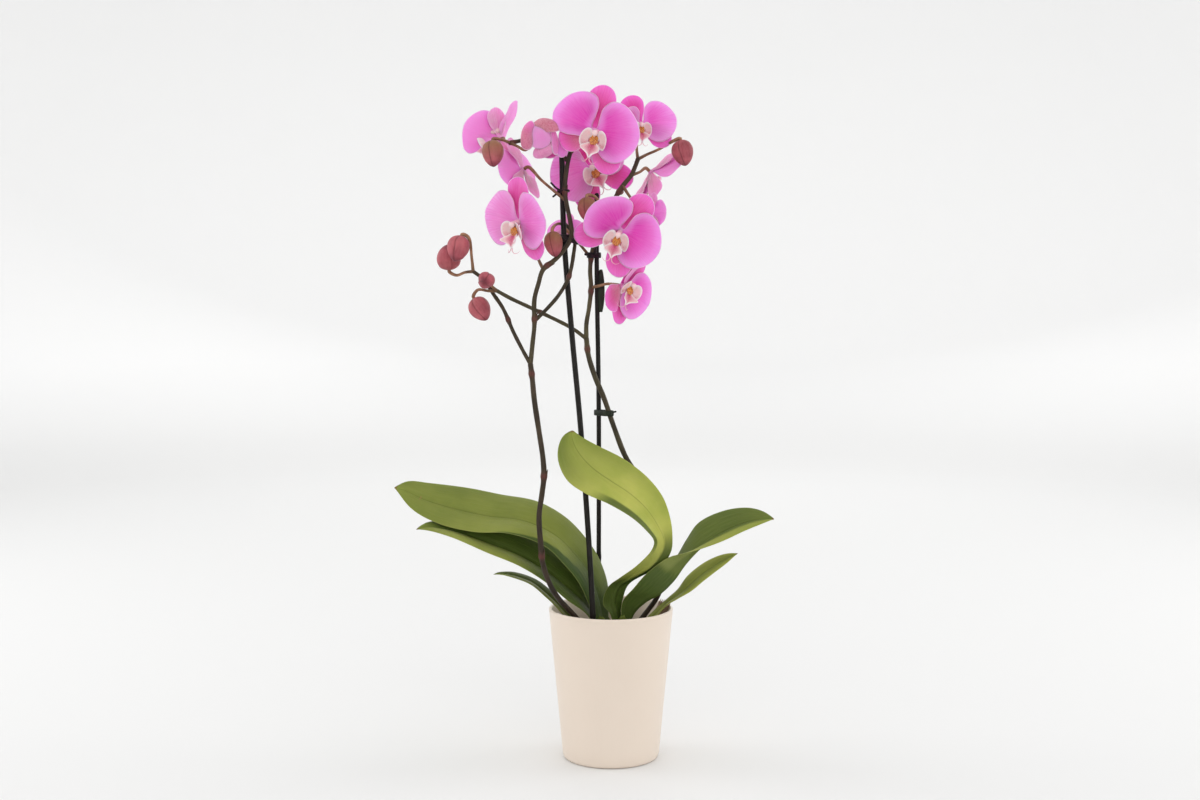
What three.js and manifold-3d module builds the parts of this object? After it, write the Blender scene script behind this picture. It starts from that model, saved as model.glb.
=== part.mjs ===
// A potted moth orchid: a ceramic cover pot, the clear nursery pot inside it with
// bark, crown and roots, six leaves, two branched flower spikes on two stakes, eleven
// open blooms, one bloom half open and eight buds.
// Millimetres, +Z up. The origin is the middle of the pot's flat base, and the side
// that the plant shows is -Y.

import * as THREE from "three";
import { mergeVertices } from "three/addons/utils/BufferGeometryUtils.js";
import Module from "manifold-3d";

const wasm = await Module();
wasm.setup();

// Driving dimensions
const GAP = 0.3; // between pieces that touch
const POT = { height: 161, rim: 66, base: 51, wall: 4, floor: 6, round: 4, sides: 36 };
const LINER = { top: 122, rim: 57.3, base: 43, wall: 1, lip: 2.4, collar: 6, sides: 24, holes: 5, hole: 5 };
const BARK = { top: 112, chips: 13, spread: 40, long: 17, wide: 12, thick: 7, seed: 7 };
const CROWN = { x: 2, y: -1, bottom: 92, top: 139, radius: 10, stretch: 1.6 };
const ROOT = 2.6; // radius
const LEAF_THICK = 1.6;
const TEPAL_THICK = 0.7;
const LIP_THICK = 0.9;
const STAKE_LEFT = 2.9; // radius
const STAKE_RIGHT = 2.5;
const STAKE_FOOT = 20; // height of the stakes' feet in the bark
const SPIKE = 2.7; // radius of a spike's lower stem
const UPPER = 2.1; // radius of its upper stem
const BRANCH = 1.8;
const PEDICEL = 1.5;
const SEAT_FRONT = 1.7; // where the lip sits on a bloom's heart
const SEAT_BACK = -2.9; // where the pedicel meets it

// A bloom at full size: lengths in mm, angles in degrees from its own right
const PETAL = { length: 46, half: 30, tilt: 7, base: 0.4 };
const DORSAL = { length: 46, half: 15, tilt: 90, base: -1.4 };
const LATERAL = { length: 46, half: 14, below: 50, base: -1.4 };
const ARCH = { rise: 8, bend: -0.28 }; // a tepal's slope at the heart, and its change per mm
const SEPAL_BACK = 5; // sepals lean this much further back than petals

const X_AXIS = new THREE.Vector3(1, 0, 0);
const Y_AXIS = new THREE.Vector3(0, 1, 0);
const Z_AXIS = new THREE.Vector3(0, 0, 1);
const degrees = THREE.MathUtils.degToRad;
const vec = (p) => new THREE.Vector3(...p);

// Repeatable numbers from 0 to 1
function draws(seed) {
  let state = seed;
  return () => {
    state = (state * 16807) % 2147483647;
    return state / 2147483647;
  };
}

// A closed geometry as a solid, turned the right way round, without empty triangles
function solid(geometry) {
  const plain = geometry.index ? geometry.toNonIndexed() : geometry;
  plain.deleteAttribute("normal");
  plain.deleteAttribute("uv");
  const merged = mergeVertices(plain, 1e-3);
  const found = merged.index.array;
  const corners = [];
  for (let i = 0; i < found.length; i += 3) {
    const [a, b, c] = [found[i], found[i + 1], found[i + 2]];
    if (a !== b && b !== c && c !== a) corners.push(a, b, c);
  }
  const build = () =>
    new wasm.Manifold(
      new wasm.Mesh({
        numProp: 3,
        vertProperties: merged.attributes.position.array,
        triVerts: new Uint32Array(corners),
      }),
    );
  const made = build();
  if (made.volume() > 0) return made;
  corners.reverse();
  return build();
}

const joined = (solids) => solids.reduce((sum, next) => sum.add(next));
const without = (piece, cuts) => cuts.reduce((left, cut) => left.subtract(cut), piece);

// The largest body of a solid, so that no loose scrap stays
function largest(piece) {
  const bodies = piece.decompose();
  return bodies.reduce((best, body) => (body.volume() > best.volume() ? body : best));
}

// A smooth curve through points
const curve = (points) => new THREE.CatmullRomCurve3(points.map(vec), false, "centripetal");

// A tube of round section along a curve through points
function tube(points, radius, sides, step) {
  const path = curve(points);
  const section = new THREE.Shape();
  for (let i = 0; i < sides; i++) {
    const angle = (2 * Math.PI * i) / sides;
    const corner = [radius * Math.cos(angle), radius * Math.sin(angle)];
    if (i === 0) section.moveTo(...corner);
    else section.lineTo(...corner);
  }
  const steps = Math.max(1, Math.round(path.getLength() / step));
  return solid(
    new THREE.ExtrudeGeometry(section, { steps, extrudePath: path, bevelEnabled: false, curveSegments: 1 }),
  );
}

// A body of revolution about +Z from [radius, height] pairs that start and end on the axis
function turned(profile, sides) {
  const lathe = new THREE.LatheGeometry(profile.map((p) => new THREE.Vector2(...p)), sides);
  return lathe.rotateX(Math.PI / 2);
}

// A thin blade: a surface point(u, v) given a thickness, split alike on both faces
function blade(point, alongSteps, acrossSteps, thick) {
  const normalAt = (u, v, pinched) => {
    const e = 1e-3;
    const a = Math.min(Math.max(u, 0.02), 0.98);
    const b = pinched ? 0.5 : Math.min(Math.max(v, 0.02), 0.98);
    const du = point(a + e, b).sub(point(a - e, b));
    const dv = point(a, b + e).sub(point(a, b - e));
    return du.cross(dv).normalize();
  };
  const front = [];
  const back = [];
  for (let i = 0; i <= alongSteps; i++) {
    for (let j = 0; j <= acrossSteps; j++) {
      const u = i / alongSteps;
      const v = j / acrossSteps;
      const middle = point(u, v);
      const pinched = point(u, 0).distanceTo(point(u, 1)) < 1e-3;
      const half = normalAt(u, v, pinched).multiplyScalar(thick / 2);
      front.push(middle.clone().add(half));
      back.push(middle.clone().sub(half));
    }
  }
  const at = (i, j) => i * (acrossSteps + 1) + j;
  const corners = [];
  const face = (...points) => points.forEach((p) => corners.push(p.x, p.y, p.z));
  for (let i = 0; i < alongSteps; i++) {
    for (let j = 0; j < acrossSteps; j++) {
      const [a, b, c, d] = [at(i, j), at(i + 1, j), at(i + 1, j + 1), at(i, j + 1)];
      face(front[a], front[b], front[c]);
      face(front[a], front[c], front[d]);
      face(back[a], back[c], back[b]);
      face(back[a], back[d], back[c]);
    }
  }
  const wall = (a, b) => {
    face(front[a], back[b], front[b]);
    face(front[a], back[a], back[b]);
  };
  for (let i = 0; i < alongSteps; i++) {
    wall(at(i, 0), at(i + 1, 0));
    wall(at(i + 1, acrossSteps), at(i, acrossSteps));
  }
  for (let j = 0; j < acrossSteps; j++) {
    wall(at(0, j + 1), at(0, j));
    wall(at(alongSteps, j), at(alongSteps, j + 1));
  }
  const geometry = new THREE.BufferGeometry();
  geometry.setAttribute("position", new THREE.Float32BufferAttribute(corners, 3));
  return geometry;
}

// Pot, nursery pot, bark, crown and roots

function pot() {
  const { height, rim, base, wall, floor, round } = POT;
  const slope = (rim - base) / height;
  const outer = (z) => base + slope * z;
  const profile = [
    [0, 0],
    [base - round, 0],
    [outer(1) - 1.2, 1],
    [outer(round), round],
    [outer(height / 2), height / 2],
    [outer(height - 2), height - 2],
    [rim - 0.9, height - 0.3],
    [rim - wall / 2, height],
    [rim - wall + 0.7, height - 0.6],
    [outer(height - 3) - wall, height - 3],
    [outer(floor + 5) - wall, floor + 5],
    [outer(floor) - wall - 4, floor],
    [0, floor],
  ];
  return solid(turned(profile, POT.sides));
}

// The nursery pot stands on the pot's floor, and the bark inside the nursery pot
const LINER_FOOT = POT.floor + GAP;
const LINER_FLOOR = LINER_FOOT + LINER.wall;
const linerOutside = (z) => {
  return LINER.base + ((LINER.rim - LINER.base) * (z - LINER_FOOT)) / (LINER.top - LINER_FOOT);
};
const linerInside = (z) => {
  const low = LINER.base - LINER.wall;
  return low + ((LINER.rim - LINER.lip - low) * (z - LINER_FLOOR)) / (LINER.top - 4 - LINER_FLOOR);
};

function nurseryPot() {
  const { top, rim, wall, collar, holes, hole } = LINER;
  const profile = [
    [0, LINER_FOOT],
    [linerOutside(LINER_FOOT), LINER_FOOT],
    [linerOutside(top - collar), top - collar],
    [rim, top - collar],
    [rim, top],
    [rim - wall, top],
    [linerInside(top - 4), top - 4],
    [linerInside(LINER_FLOOR), LINER_FLOOR],
    [0, LINER_FLOOR],
  ];
  const drains = [];
  for (let i = 0; i < holes; i++) {
    const turn = (2 * Math.PI * i) / holes;
    const drain = new THREE.CylinderGeometry(hole, hole, 4 * wall, 8).rotateX(Math.PI / 2);
    drains.push(solid(drain.translate(30 * Math.cos(turn), 30 * Math.sin(turn), LINER_FOOT)));
  }
  return without(solid(turned(profile, LINER.sides)), drains);
}

const ROOTS = [
  [[5, -5, 104], [14, -18, 114], [20, -30, 118], [29, -36, 116], [39, -27, 108], [44, -16, 98]],
  [[-5, 4, 104], [-15, 14, 115], [-28, 20, 118], [-41, 17, 116], [-46, 2, 106], [-44, -10, 96]],
  [[7, 4, 104], [14, 17, 116], [19, 31, 119], [9, 43, 116], [-7, 45, 106], [-18, 41, 96]],
  [[-7, -4, 104], [-20, -10, 114], [-31, -21, 119], [-30, -34, 116], [-17, -43, 106], [-4, -45, 96]],
];

// The crown with the roots that grow from it and dive into the bark
function crown(grow) {
  const { x, y, bottom, top, radius, stretch } = CROWN;
  const r = radius + grow;
  const profile = [
    [0, bottom - grow],
    [0.6 * r, bottom - grow],
    [r, bottom + 14],
    [r, top - 12],
    [0.8 * r, top - 4],
    [0.35 * r, top + grow],
    [0, top + grow],
  ];
  const body = solid(turned(profile, 12).scale(stretch, 1, 1).translate(x, y, 0));
  return joined([body, ...ROOTS.map((points) => tube(points, ROOT + grow, 5, 16))]);
}

function bark() {
  const { top, chips, spread, long, wide, thick, seed } = BARK;
  const bottom = LINER_FLOOR + GAP;
  const side = (z) => linerInside(z) - 2 * GAP;
  const profile = [[0, bottom], [side(bottom), bottom], [side(top), top], [0, top]];
  const draw = draws(seed);
  const pieces = [solid(turned(profile, LINER.sides))];
  for (let i = 0; i < chips; i++) {
    // sunflower spacing, with each chip turned and tipped by a draw
    const reach = spread * Math.sqrt((i + 0.5) / chips);
    const angle = i * 2.39996;
    const size = 0.7 + 0.5 * draw();
    const chip = new THREE.BoxGeometry(long * size, wide * size, thick);
    chip.rotateX(0.5 * (draw() - 0.5));
    chip.rotateY(0.5 * (draw() - 0.5));
    chip.rotateZ(Math.PI * draw());
    chip.translate(reach * Math.cos(angle), reach * Math.sin(angle), top + 1);
    pieces.push(solid(chip));
  }
  return joined(pieces);
}

// Leaves: each has a near edge, a far edge and a rib, all from the crown to the tip

const LEAVES = {
  leaf_1: {
    near: [
      [-8, -9, 133], [-31, -16, 190], [-47, -21, 211], [-69, -27, 232], [-106, -30, 245],
      [-143, -26, 246], [-179, -20, 253], [-209, -10, 267], [-230, 4, 289],
    ],
    far: [
      [-4, 6, 135], [-5, 13, 177], [-12, 17, 202], [-22, 19, 221], [-47, 22, 251], [-79, 26, 270],
      [-119, 28, 278], [-153, 28, 285], [-194, 23, 291], [-216, 15, 294], [-230, 4, 289],
    ],
    sag: [0, 0, -4], steps: 14,
  },
  leaf_2: {
    near: [
      [-10, -8, 126], [-25, -14, 157], [-46, -22, 175], [-68, -30, 194], [-96, -36, 212],
      [-129, -38, 226], [-165, -34, 241], [-189, -27, 247], [-205, -20, 248],
    ],
    far: [
      [-10, 5, 127], [-29, 10, 176], [-54, 14, 202], [-97, 14, 230], [-145, 8, 247],
      [-175, -4, 254], [-193, -12, 254], [-205, -20, 248],
    ],
    sag: [0, 0, -3], steps: 14,
  },
  leaf_3: {
    near: [
      [-12, -6, 118], [-48, -8, 151], [-60, -10, 165], [-70, -12, 175], [-85, -14, 188],
      [-107, -12, 196], [-118, -9, 198], [-125, -6, 198],
    ],
    far: [
      [-12, 5, 119], [-44, 6, 156], [-56, 8, 169], [-67, 8, 180], [-81, 8, 190], [-103, 4, 198],
      [-118, -2, 199], [-125, -6, 198],
    ],
    sag: [0, 0, -2], steps: 10,
  },
  leaf_4: {
    near: [
      [8, -9, 134], [0, -14, 158], [-7, -17, 167], [-7, -19, 177], [-2, -21, 188], [9, -25, 197],
      [27, -34, 212], [42, -43, 230], [44, -47, 240], [35, -50, 252], [21, -54, 265],
      [-3, -59, 280], [-26, -63, 291], [-45, -65, 305], [-54, -64, 324], [-54, -61, 339],
      [-49, -59, 350], [-40, -57, 356],
    ],
    far: [
      [14, -2, 136], [9, -4, 156], [12, -5, 172], [19, -7, 187], [37, -12, 199], [53, -19, 208],
      [63, -26, 226], [64, -29, 241], [62, -31, 259], [54, -33, 283], [38, -35, 304],
      [13, -39, 324], [-15, -45, 339], [-30, -51, 348], [-40, -57, 356],
    ],
    sag: [0, 5, -2], steps: 20,
  },
  leaf_5: {
    near: [
      [16, -9, 128], [11, -12, 163], [14, -14, 173], [23, -18, 184], [37, -22, 201],
      [60, -27, 219], [77, -30, 224], [94, -32, 229], [116, -32, 237], [138, -30, 247],
      [158, -23, 254], [172, -14, 258],
    ],
    rib: [
      [18, 0, 124], [22, -4, 153], [36, -8, 169], [51, -10, 178], [65, -12, 192], [79, -14, 212],
      [98, -15, 231], [123, -16, 247], [151, -15, 257], [172, -14, 258],
    ],
    far: [
      [16, 6, 128], [25, 8, 161], [36, 9, 171], [48, 9, 183], [61, 8, 199], [72, 6, 218],
      [81, 5, 234], [93, 4, 251], [119, 2, 264], [144, -2, 268], [160, -7, 265], [172, -14, 258],
    ],
    steps: 16,
  },
  leaf_6: {
    near: [
      [18, -5, 121], [44, -6, 146], [58, -6, 163], [70, -8, 171], [85, -9, 180], [97, -9, 190],
      [109, -7, 199], [123, -3, 209], [135, 2, 219],
    ],
    far: [
      [18, 4, 122], [40, 6, 150], [55, 8, 164], [63, 9, 171], [71, 10, 178], [82, 10, 193],
      [99, 9, 207], [114, 6, 215], [124, 4, 218], [135, 2, 219],
    ],
    sag: [0, 0, -2], steps: 12,
  },
};

// Across the blade each half runs straight from the rib to its edge
function leaf({ near, far, rib, sag, steps }) {
  const nearEdge = curve(near);
  const farEdge = curve(far);
  const ribLine = rib && curve(rib);
  const point = (u, v) => {
    const a = nearEdge.getPointAt(u);
    const b = farEdge.getPointAt(u);
    const fade = Math.sin(Math.PI * Math.min(1, Math.max(0, u)));
    const middle = ribLine ? ribLine.getPointAt(u) : a.clone().lerp(b, 0.5).addScaledVector(vec(sag), fade);
    return v < 0.5 ? a.lerp(middle, 2 * v) : middle.lerp(b, 2 * v - 1);
  };
  return solid(blade(point, steps, 2, LEAF_THICK));
}

// Blooms. In a bloom's own frame x is its viewer's right, y is up and z faces the viewer.
// Turns are in degrees: yaw about +Z from -Y, pitch upwards, roll anticlockwise. The cup
// folds the tepals forwards, and a petal that stands oddly has turns of its own.

const BLOOMS = {
  bloom_1: {
    at: [-116.5, 19, 655.5], yaw: -150, pitch: -4, roll: 0, cup: 8, size: 0.9,
    left: { length: 50, half: 20, tilt: 57, fold: 4, twist: 50 },
    right: { tilt: 16 },
    dorsal: { length: 38, half: 10 },
    lateral: { length: 40 },
  },
  bloom_2: { at: [-92, 1, 623], yaw: -118, pitch: -20, roll: 0, cup: 10, size: 0.8 },
  bloom_3: {
    at: [-94, -35, 568], yaw: -40, pitch: -8, roll: -6, cup: 6,
    left: { length: 42 },
    right: { length: 41 },
  },
  bloom_4: { at: [-18, -45, 659], yaw: -10, pitch: 0, roll: -15, cup: 2, size: 1.04 },
  bloom_5: {
    at: [31, 12, 671], yaw: 8, pitch: 0, roll: 0, cup: 2, size: 0.76,
    right: { length: 50, half: 29 },
    dorsal: { length: 40, tilt: 110 },
  },
  bloom_6: { at: [42, 30, 622], yaw: 118, pitch: -35, roll: 0, cup: 23, size: 0.78 },
  bloom_7: { at: [-20, 22, 627], yaw: -4, pitch: 0, roll: 30, cup: 3, right: { length: 38, half: 22 } },
  bloom_8: {
    at: [9, -40, 559], yaw: -8, pitch: -6, roll: -43, cup: 3,
    left: { length: 41, half: 26, fold: 24, tilt: 14 },
    right: { tilt: 12 },
    lateral: { length: 49 },
  },
  bloom_9: { at: [-48, 26, 564], yaw: 172, pitch: -35, roll: 0, cup: 20, size: 0.5 },
  bloom_10: {
    at: [11, -14, 502], yaw: 42, pitch: -8, roll: -40, cup: 8, size: 0.88,
    left: { length: 36, half: 20, tilt: 75, fold: 10, twist: 55 },
    lateralLeft: { length: 30, fold: 50 },
  },
  bloom_11: { at: [40, -2, 577], yaw: 125, pitch: -10, roll: 0, cup: 10, size: 0.5 },
};
const HALF_OPEN = { at: [-83, -28, 645], yaw: 60, pitch: 28, roll: 10, cup: 4, bend: 2, size: 1.02 };

function placed({ at, yaw, pitch, roll, size = 1 }) {
  const [a, b, c] = [yaw, pitch, roll].map(degrees);
  const facing = new THREE.Vector3(Math.sin(a) * Math.cos(b), -Math.cos(a) * Math.cos(b), Math.sin(b));
  const right = new THREE.Vector3(Math.cos(a), Math.sin(a), 0);
  const up = facing.clone().cross(right);
  const turn = new THREE.Matrix4().makeBasis(right, up, facing);
  turn.multiply(new THREE.Matrix4().makeRotationZ(c));
  turn.scale(new THREE.Vector3(size, size, size));
  return turn.setPosition(...at);
}

// A tepal is an oval blade that starts and ends on its axis. It has turns in degrees: a
// twist about its axis, a fold forwards and a tilt to its place round the heart. Then it
// bends away from the heart's plane along its reach.
function tepal({ length, half, base, grow, tilt, cup, bend, fold = 0, twist = 0 }, steps) {
  const lean = degrees(ARCH.rise + cup);
  const bow = degrees(bend);
  const point = (u, v) => {
    const turn = Math.PI * Math.min(1, Math.max(0, u));
    const width = (half + 2 * grow) * Math.sin(turn) ** 0.9 * (2 * v - 1);
    const place = new THREE.Vector3(((length + 2 * grow) * (1 - Math.cos(turn))) / 2, width, 0);
    const reach = place.length();
    place.applyAxisAngle(X_AXIS, degrees(twist)).applyAxisAngle(Y_AXIS, -degrees(fold));
    place.applyAxisAngle(Z_AXIS, degrees(tilt));
    const end = lean + bow * reach;
    const drawn = (Math.sin(end) - Math.sin(lean)) / (bow * Math.max(reach, 1e-6));
    const rise = (Math.cos(lean) - Math.cos(end)) / bow;
    return place.set(place.x * drawn, place.y * drawn, place.z + base + rise);
  };
  return blade(point, steps, 2, TEPAL_THICK + 2 * grow);
}

function tepals(bloom, grow) {
  const { cup, bend = ARCH.bend } = bloom;
  const { left = {}, right = {}, dorsal = {}, lateral = {}, lateralLeft = {} } = bloom;
  const heart = new THREE.CylinderGeometry(3.4, 2.6, SEAT_FRONT - SEAT_BACK, 6).rotateX(Math.PI / 2);
  const front = { cup, bend, grow };
  const back = { ...front, cup: cup - SEPAL_BACK };
  const below = lateral.below ?? LATERAL.below;
  const shapes = [
    heart.translate(0, 0, (SEAT_FRONT + SEAT_BACK) / 2),
    tepal({ ...PETAL, ...front, ...right }, 6),
    tepal({ ...PETAL, ...front, ...left, tilt: 180 - (left.tilt ?? PETAL.tilt) }, 6),
    tepal({ ...DORSAL, ...back, ...dorsal }, 4),
    tepal({ ...LATERAL, ...back, ...lateral, tilt: -below }, 4),
    tepal({ ...LATERAL, ...back, ...lateral, ...lateralLeft, tilt: 180 + below }, 4),
  ];
  const place = placed(bloom);
  return largest(joined(shapes.map((shape) => solid(shape.applyMatrix4(place)))));
}

// The column with its cap, the callus, two side lobes and the mid lobe
function lip(bloom) {
  const seat = SEAT_FRONT + GAP;
  const column = turned([[0, seat], [2.5, seat], [2.8, 9.5], [0, 12]], 5);
  const callus = new THREE.SphereGeometry(1, 4, 2).scale(4, 6.4, 3.4).translate(0, -6.5, 6.4);
  const lobe = (side) => (u, v) => {
    const width = 6 * Math.sin(Math.PI * (0.14 + 0.82 * u)) * (2 * v - 1);
    const bulge = 3 * Math.sin(Math.PI * u);
    return new THREE.Vector3(
      side * (1.6 + 5.6 * u + bulge + 0.7 * width),
      -8 + 7 * u - 0.1 * width,
      6 + 5 * u + 0.55 * width + 0.05 * width * width,
    );
  };
  const middle = (u, v) => {
    const width = (2.6 + 5.4 * Math.sin(Math.PI * u ** 1.2)) * (1 - 0.7 * u ** 4) * (2 * v - 1);
    return new THREE.Vector3(width, -9 - 18 * u, 6 + 8 * Math.sin(1.9 * u) - 0.05 * width * width);
  };
  const place = placed(bloom);
  const thick = LIP_THICK;
  const parts = [
    column,
    callus,
    blade(lobe(1), 2, 1, thick),
    blade(lobe(-1), 2, 1, thick),
    blade(middle, 3, 2, thick),
  ];
  return joined(parts.map((part) => solid(part.applyMatrix4(place))));
}

// Buds: a drop with three soft ridges, from its base along its own direction

const BUDS = {
  bud_1: { base: [-154, -28, 553], along: [-0.25, -0.15, -0.95], length: 27, half: 11.4 },
  bud_2: { base: [-169, -6, 519], along: [-0.05, -0.12, 0.98], length: 26, half: 12.4 },
  bud_3: { base: [-127, -33, 509], along: [-0.1, -0.95, -0.1], length: 21, half: 8.6 },
  bud_4: { base: [-142, -18, 489], along: [0.5, -0.1, -0.85], length: 26, half: 11 },
  bud_5: { base: [-121, -30, 650], along: [0.02, -0.2, -1], length: 27, half: 11 },
  bud_6: { base: [-25, -20, 593], along: [0.04, -0.1, -1], length: 25, half: 9.8 },
  bud_7: { base: [-60.5, -30, 557.5], along: [0.12, -0.1, -1], length: 26, half: 9.4 },
  bud_8: { base: [73, 16, 654], along: [0.2, -0.05, -1], length: 27, half: 11.3 },
};

function bud({ base, along, length, half }) {
  const shares = [[0, 0], [0.3, 0], [0.8, 0.2], [1, 0.45], [0.86, 0.72], [0.4, 0.94], [0, 1]];
  const shape = turned(shares.map(([r, z]) => [r * half, z * length]), 9);
  const places = shape.attributes.position;
  for (let i = 0; i < places.count; i++) {
    const ridge = 1 + 0.05 * Math.cos(3 * Math.atan2(places.getY(i), places.getX(i)));
    places.setXY(i, places.getX(i) * ridge, places.getY(i) * ridge);
  }
  const turn = new THREE.Quaternion().setFromUnitVectors(vec([0, 0, 1]), vec(along).normalize());
  return solid(shape.applyQuaternion(turn).translate(...base));
}

// Spikes. Each stem is a list of points, and the pedicels run on from it.

const LEFT_MAIN = [
  [-6, -8, 118], [-22, -16, 138], [-40, -26, 159], [-59, -38, 184], [-70, -48, 214],
  [-73, -54, 243], [-74, -56, 268], [-71, -56, 290], [-69, -55, 308], [-70, -53, 326],
  [-74, -50, 353], [-79, -46, 386], [-81, -43, 406], [-83, -41, 422],
];
const LEFT_UPPER = [
  [-83, -41, 422], [-81, -39, 442], [-79, -37, 462], [-79, -35, 488], [-75, -33, 504],
  [-70, -31, 519], [-57, -28, 530], [-46, -25, 543], [-41, -23, 553], [-42, -22, 567],
  [-46, -21, 586], [-48, -20, 601], [-47, -19, 614], [-45, -18, 628], [-42, -18, 640],
];
const LEFT_SIDE = [
  [-79, -36, 466], [-65, -31, 480], [-54, -26, 493], [-44, -20, 511], [-39, -14, 535],
  [-38, -8, 550], [-42, -5, 560], [-48, -4, 566],
];
const LEFT_LOW = [
  [-83, -41, 422], [-92, -37, 438], [-101, -31, 455], [-112, -24, 479], [-123, -18, 495],
  [-129, -16, 506], [-136, -17, 512], [-143, -18, 517],
];
const LEFT_TOP = [[-45, -18, 630], [-56, -14, 645], [-70, -12, 653], [-90, -14, 652], [-104, -18, 649]];
const RIGHT_MAIN = [
  [14, 6, 118], [26, 14, 136], [38, 15, 152], [50, 14, 170], [58, 12, 199], [57, 9, 232],
  [46, 6, 271], [31, 6, 297], [16, 8, 320], [3, 10, 353], [-7, 12, 382], [-17, 12, 406],
  [-24, 12, 429], [-26, 12, 446],
];
const RIGHT_UPPER = [
  [-26, 12, 446], [-26, 12, 461], [-23, 12, 480], [-21, 12, 500], [-22, 12, 517], [-21, 12, 531],
  [-18, 8, 544], [-12, 5, 558], [-6, 2, 571], [0, 0, 585], [7, 0, 598], [13, 2, 607], [21, 4, 617],
  [25, 6, 626], [28, 8, 634],
];
const RIGHT_LOW = [
  [-26, 12, 446], [-41, 12, 457], [-70, 6, 472], [-88, -6, 481], [-104, -18, 489],
  [-118, -24, 497],
];

// A stem's end runs out behind the bloom and meets the flat back of its heart
function toBloom(bloom, points) {
  const place = placed(bloom);
  const size = bloom.size ?? 1;
  const behind = (depth) => vec([0, 0, SEAT_BACK - depth / size]).applyMatrix4(place).toArray();
  return [...points, behind(9), behind(GAP)];
}

// A stem's end turns into the bud's own direction and meets its base
function toBud({ base, along }, points) {
  const way = vec(along).normalize();
  const back = (depth) => vec(base).addScaledVector(way, -depth).toArray();
  return [...points, back(4), back(GAP)];
}

const LEFT_PEDICELS = [
  toBloom(BLOOMS.bloom_3, [[-70, -31, 519], [-76, -24, 532], [-80, -18, 552]]),
  toBloom(BLOOMS.bloom_2, [[-47, -20, 590], [-65, -18, 604], [-78, -12, 614]]),
  toBloom(BLOOMS.bloom_4, [[-42, -18, 638], [-36, -20, 646], [-28, -26, 655]]),
  toBloom(BLOOMS.bloom_1, [[-104, -18, 649], [-110, -10, 652]]),
  toBloom(HALF_OPEN, [[-104, -18, 649], [-98, -22, 646]]),
  toBud(BUDS.bud_5, [[-104, -18, 649], [-112, -24, 654]]),
  toBud(BUDS.bud_7, [[-48, -4, 566], [-57, -13, 571]]),
  toBud(BUDS.bud_1, [[-143, -18, 517], [-144, -22, 530], [-147, -27, 552]]),
  toBud(BUDS.bud_2, [[-143, -18, 517], [-152, -13, 516], [-161, -9, 513]]),
];
const RIGHT_PEDICELS = [
  toBloom(BLOOMS.bloom_8, [[-2, 0, 580], [4, -8, 572]]),
  toBloom(BLOOMS.bloom_10, [[-21, 12, 500], [-12, 6, 502], [-4, 0, 504]]),
  toBloom(BLOOMS.bloom_9, [[-21, 12, 531], [-36, 13, 549], [-48, 13, 562]]),
  toBloom(BLOOMS.bloom_7, [[6, 0, 597], [12, 20, 601], [6, 37, 614]]),
  toBloom(BLOOMS.bloom_5, [[28, 8, 634], [27, 18, 646], [28, 24, 660]]),
  toBloom(BLOOMS.bloom_6, [[21, 4, 617], [30, 14, 621]]),
  toBloom(BLOOMS.bloom_11, [[12, 1, 606], [20, -2, 594], [28, -4, 584]]),
  toBud(BUDS.bud_8, [[28, 8, 634], [40, 8, 644], [60, 12, 652]]),
  toBud(BUDS.bud_6, [[-8, 3, 567], [-11, -8, 586], [-18, -15, 598]]),
  toBud(BUDS.bud_3, [[-118, -24, 497], [-123, -28, 502]]),
  toBud(BUDS.bud_4, [[-118, -24, 497], [-127, -25, 497], [-138, -21, 498]]),
];

// A joint of the stem: it swells, and a bract clasps it on the way up
function joint(points, share, radius) {
  const path = curve(points);
  const spot = path.getPointAt(share);
  const turn = new THREE.Quaternion().setFromUnitVectors(Z_AXIS, path.getTangentAt(share));
  const swell = turned([[0, -5], [radius + 1, 0], [0.4 * radius, 9], [0, 9]], 4);
  swell.translate(0.25 * radius, 0, 0);
  return solid(swell.applyQuaternion(turn).translate(...spot.toArray()));
}

function spikeLeft(grow) {
  const stems = [
    tube(LEFT_MAIN, SPIKE + grow, 6, 24),
    tube(LEFT_UPPER, UPPER + grow, 5, 17),
    tube(LEFT_SIDE, BRANCH + grow, 4, 16),
    tube(LEFT_LOW, BRANCH + grow, 4, 16),
    tube(LEFT_TOP, BRANCH + grow, 4, 16),
    ...LEFT_PEDICELS.map((points) => tube(points, PEDICEL + grow, 4, 13)),
    ...[0.2, 0.45, 0.68, 0.97].map((share) => joint(LEFT_MAIN, share, SPIKE + grow)),
    ...[0.2, 0.45, 0.82].map((share) => joint(LEFT_UPPER, share, UPPER + grow)),
  ];
  return joined(stems);
}

function spikeRight(grow) {
  const stems = [
    tube(RIGHT_MAIN, SPIKE + grow, 6, 24),
    tube(RIGHT_UPPER, UPPER + grow, 5, 17),
    tube(RIGHT_LOW, BRANCH + grow, 4, 16),
    ...RIGHT_PEDICELS.map((points) => tube(points, PEDICEL + grow, 4, 13)),
    ...[0.25, 0.55, 0.97].map((share) => joint(RIGHT_MAIN, share, SPIKE + grow)),
    ...[0.25, 0.42, 0.8].map((share) => joint(RIGHT_UPPER, share, UPPER + grow)),
  ];
  return joined(stems);
}

// Stakes and what ties the spikes to them

const LEFT_STAKE_LINE = [
  [-16, -27, STAKE_FOOT], [-19, -26, 156], [-31, -22, 345], [-41, -17, 454], [-49, -13.5, 554],
  [-51, -12, 634],
];
const RIGHT_STAKE_LINE = [
  [-13, 30, STAKE_FOOT], [-13, 28, 163], [-13, 20, 380], [-15, 15, 517], [-15, 12, 597],
];

const stakeLeft = (grow) => tube(LEFT_STAKE_LINE, STAKE_LEFT + grow, 8, 105);
const stakeRight = (grow) => tube(RIGHT_STAKE_LINE, STAKE_RIGHT + grow, 8, 100);

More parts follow.
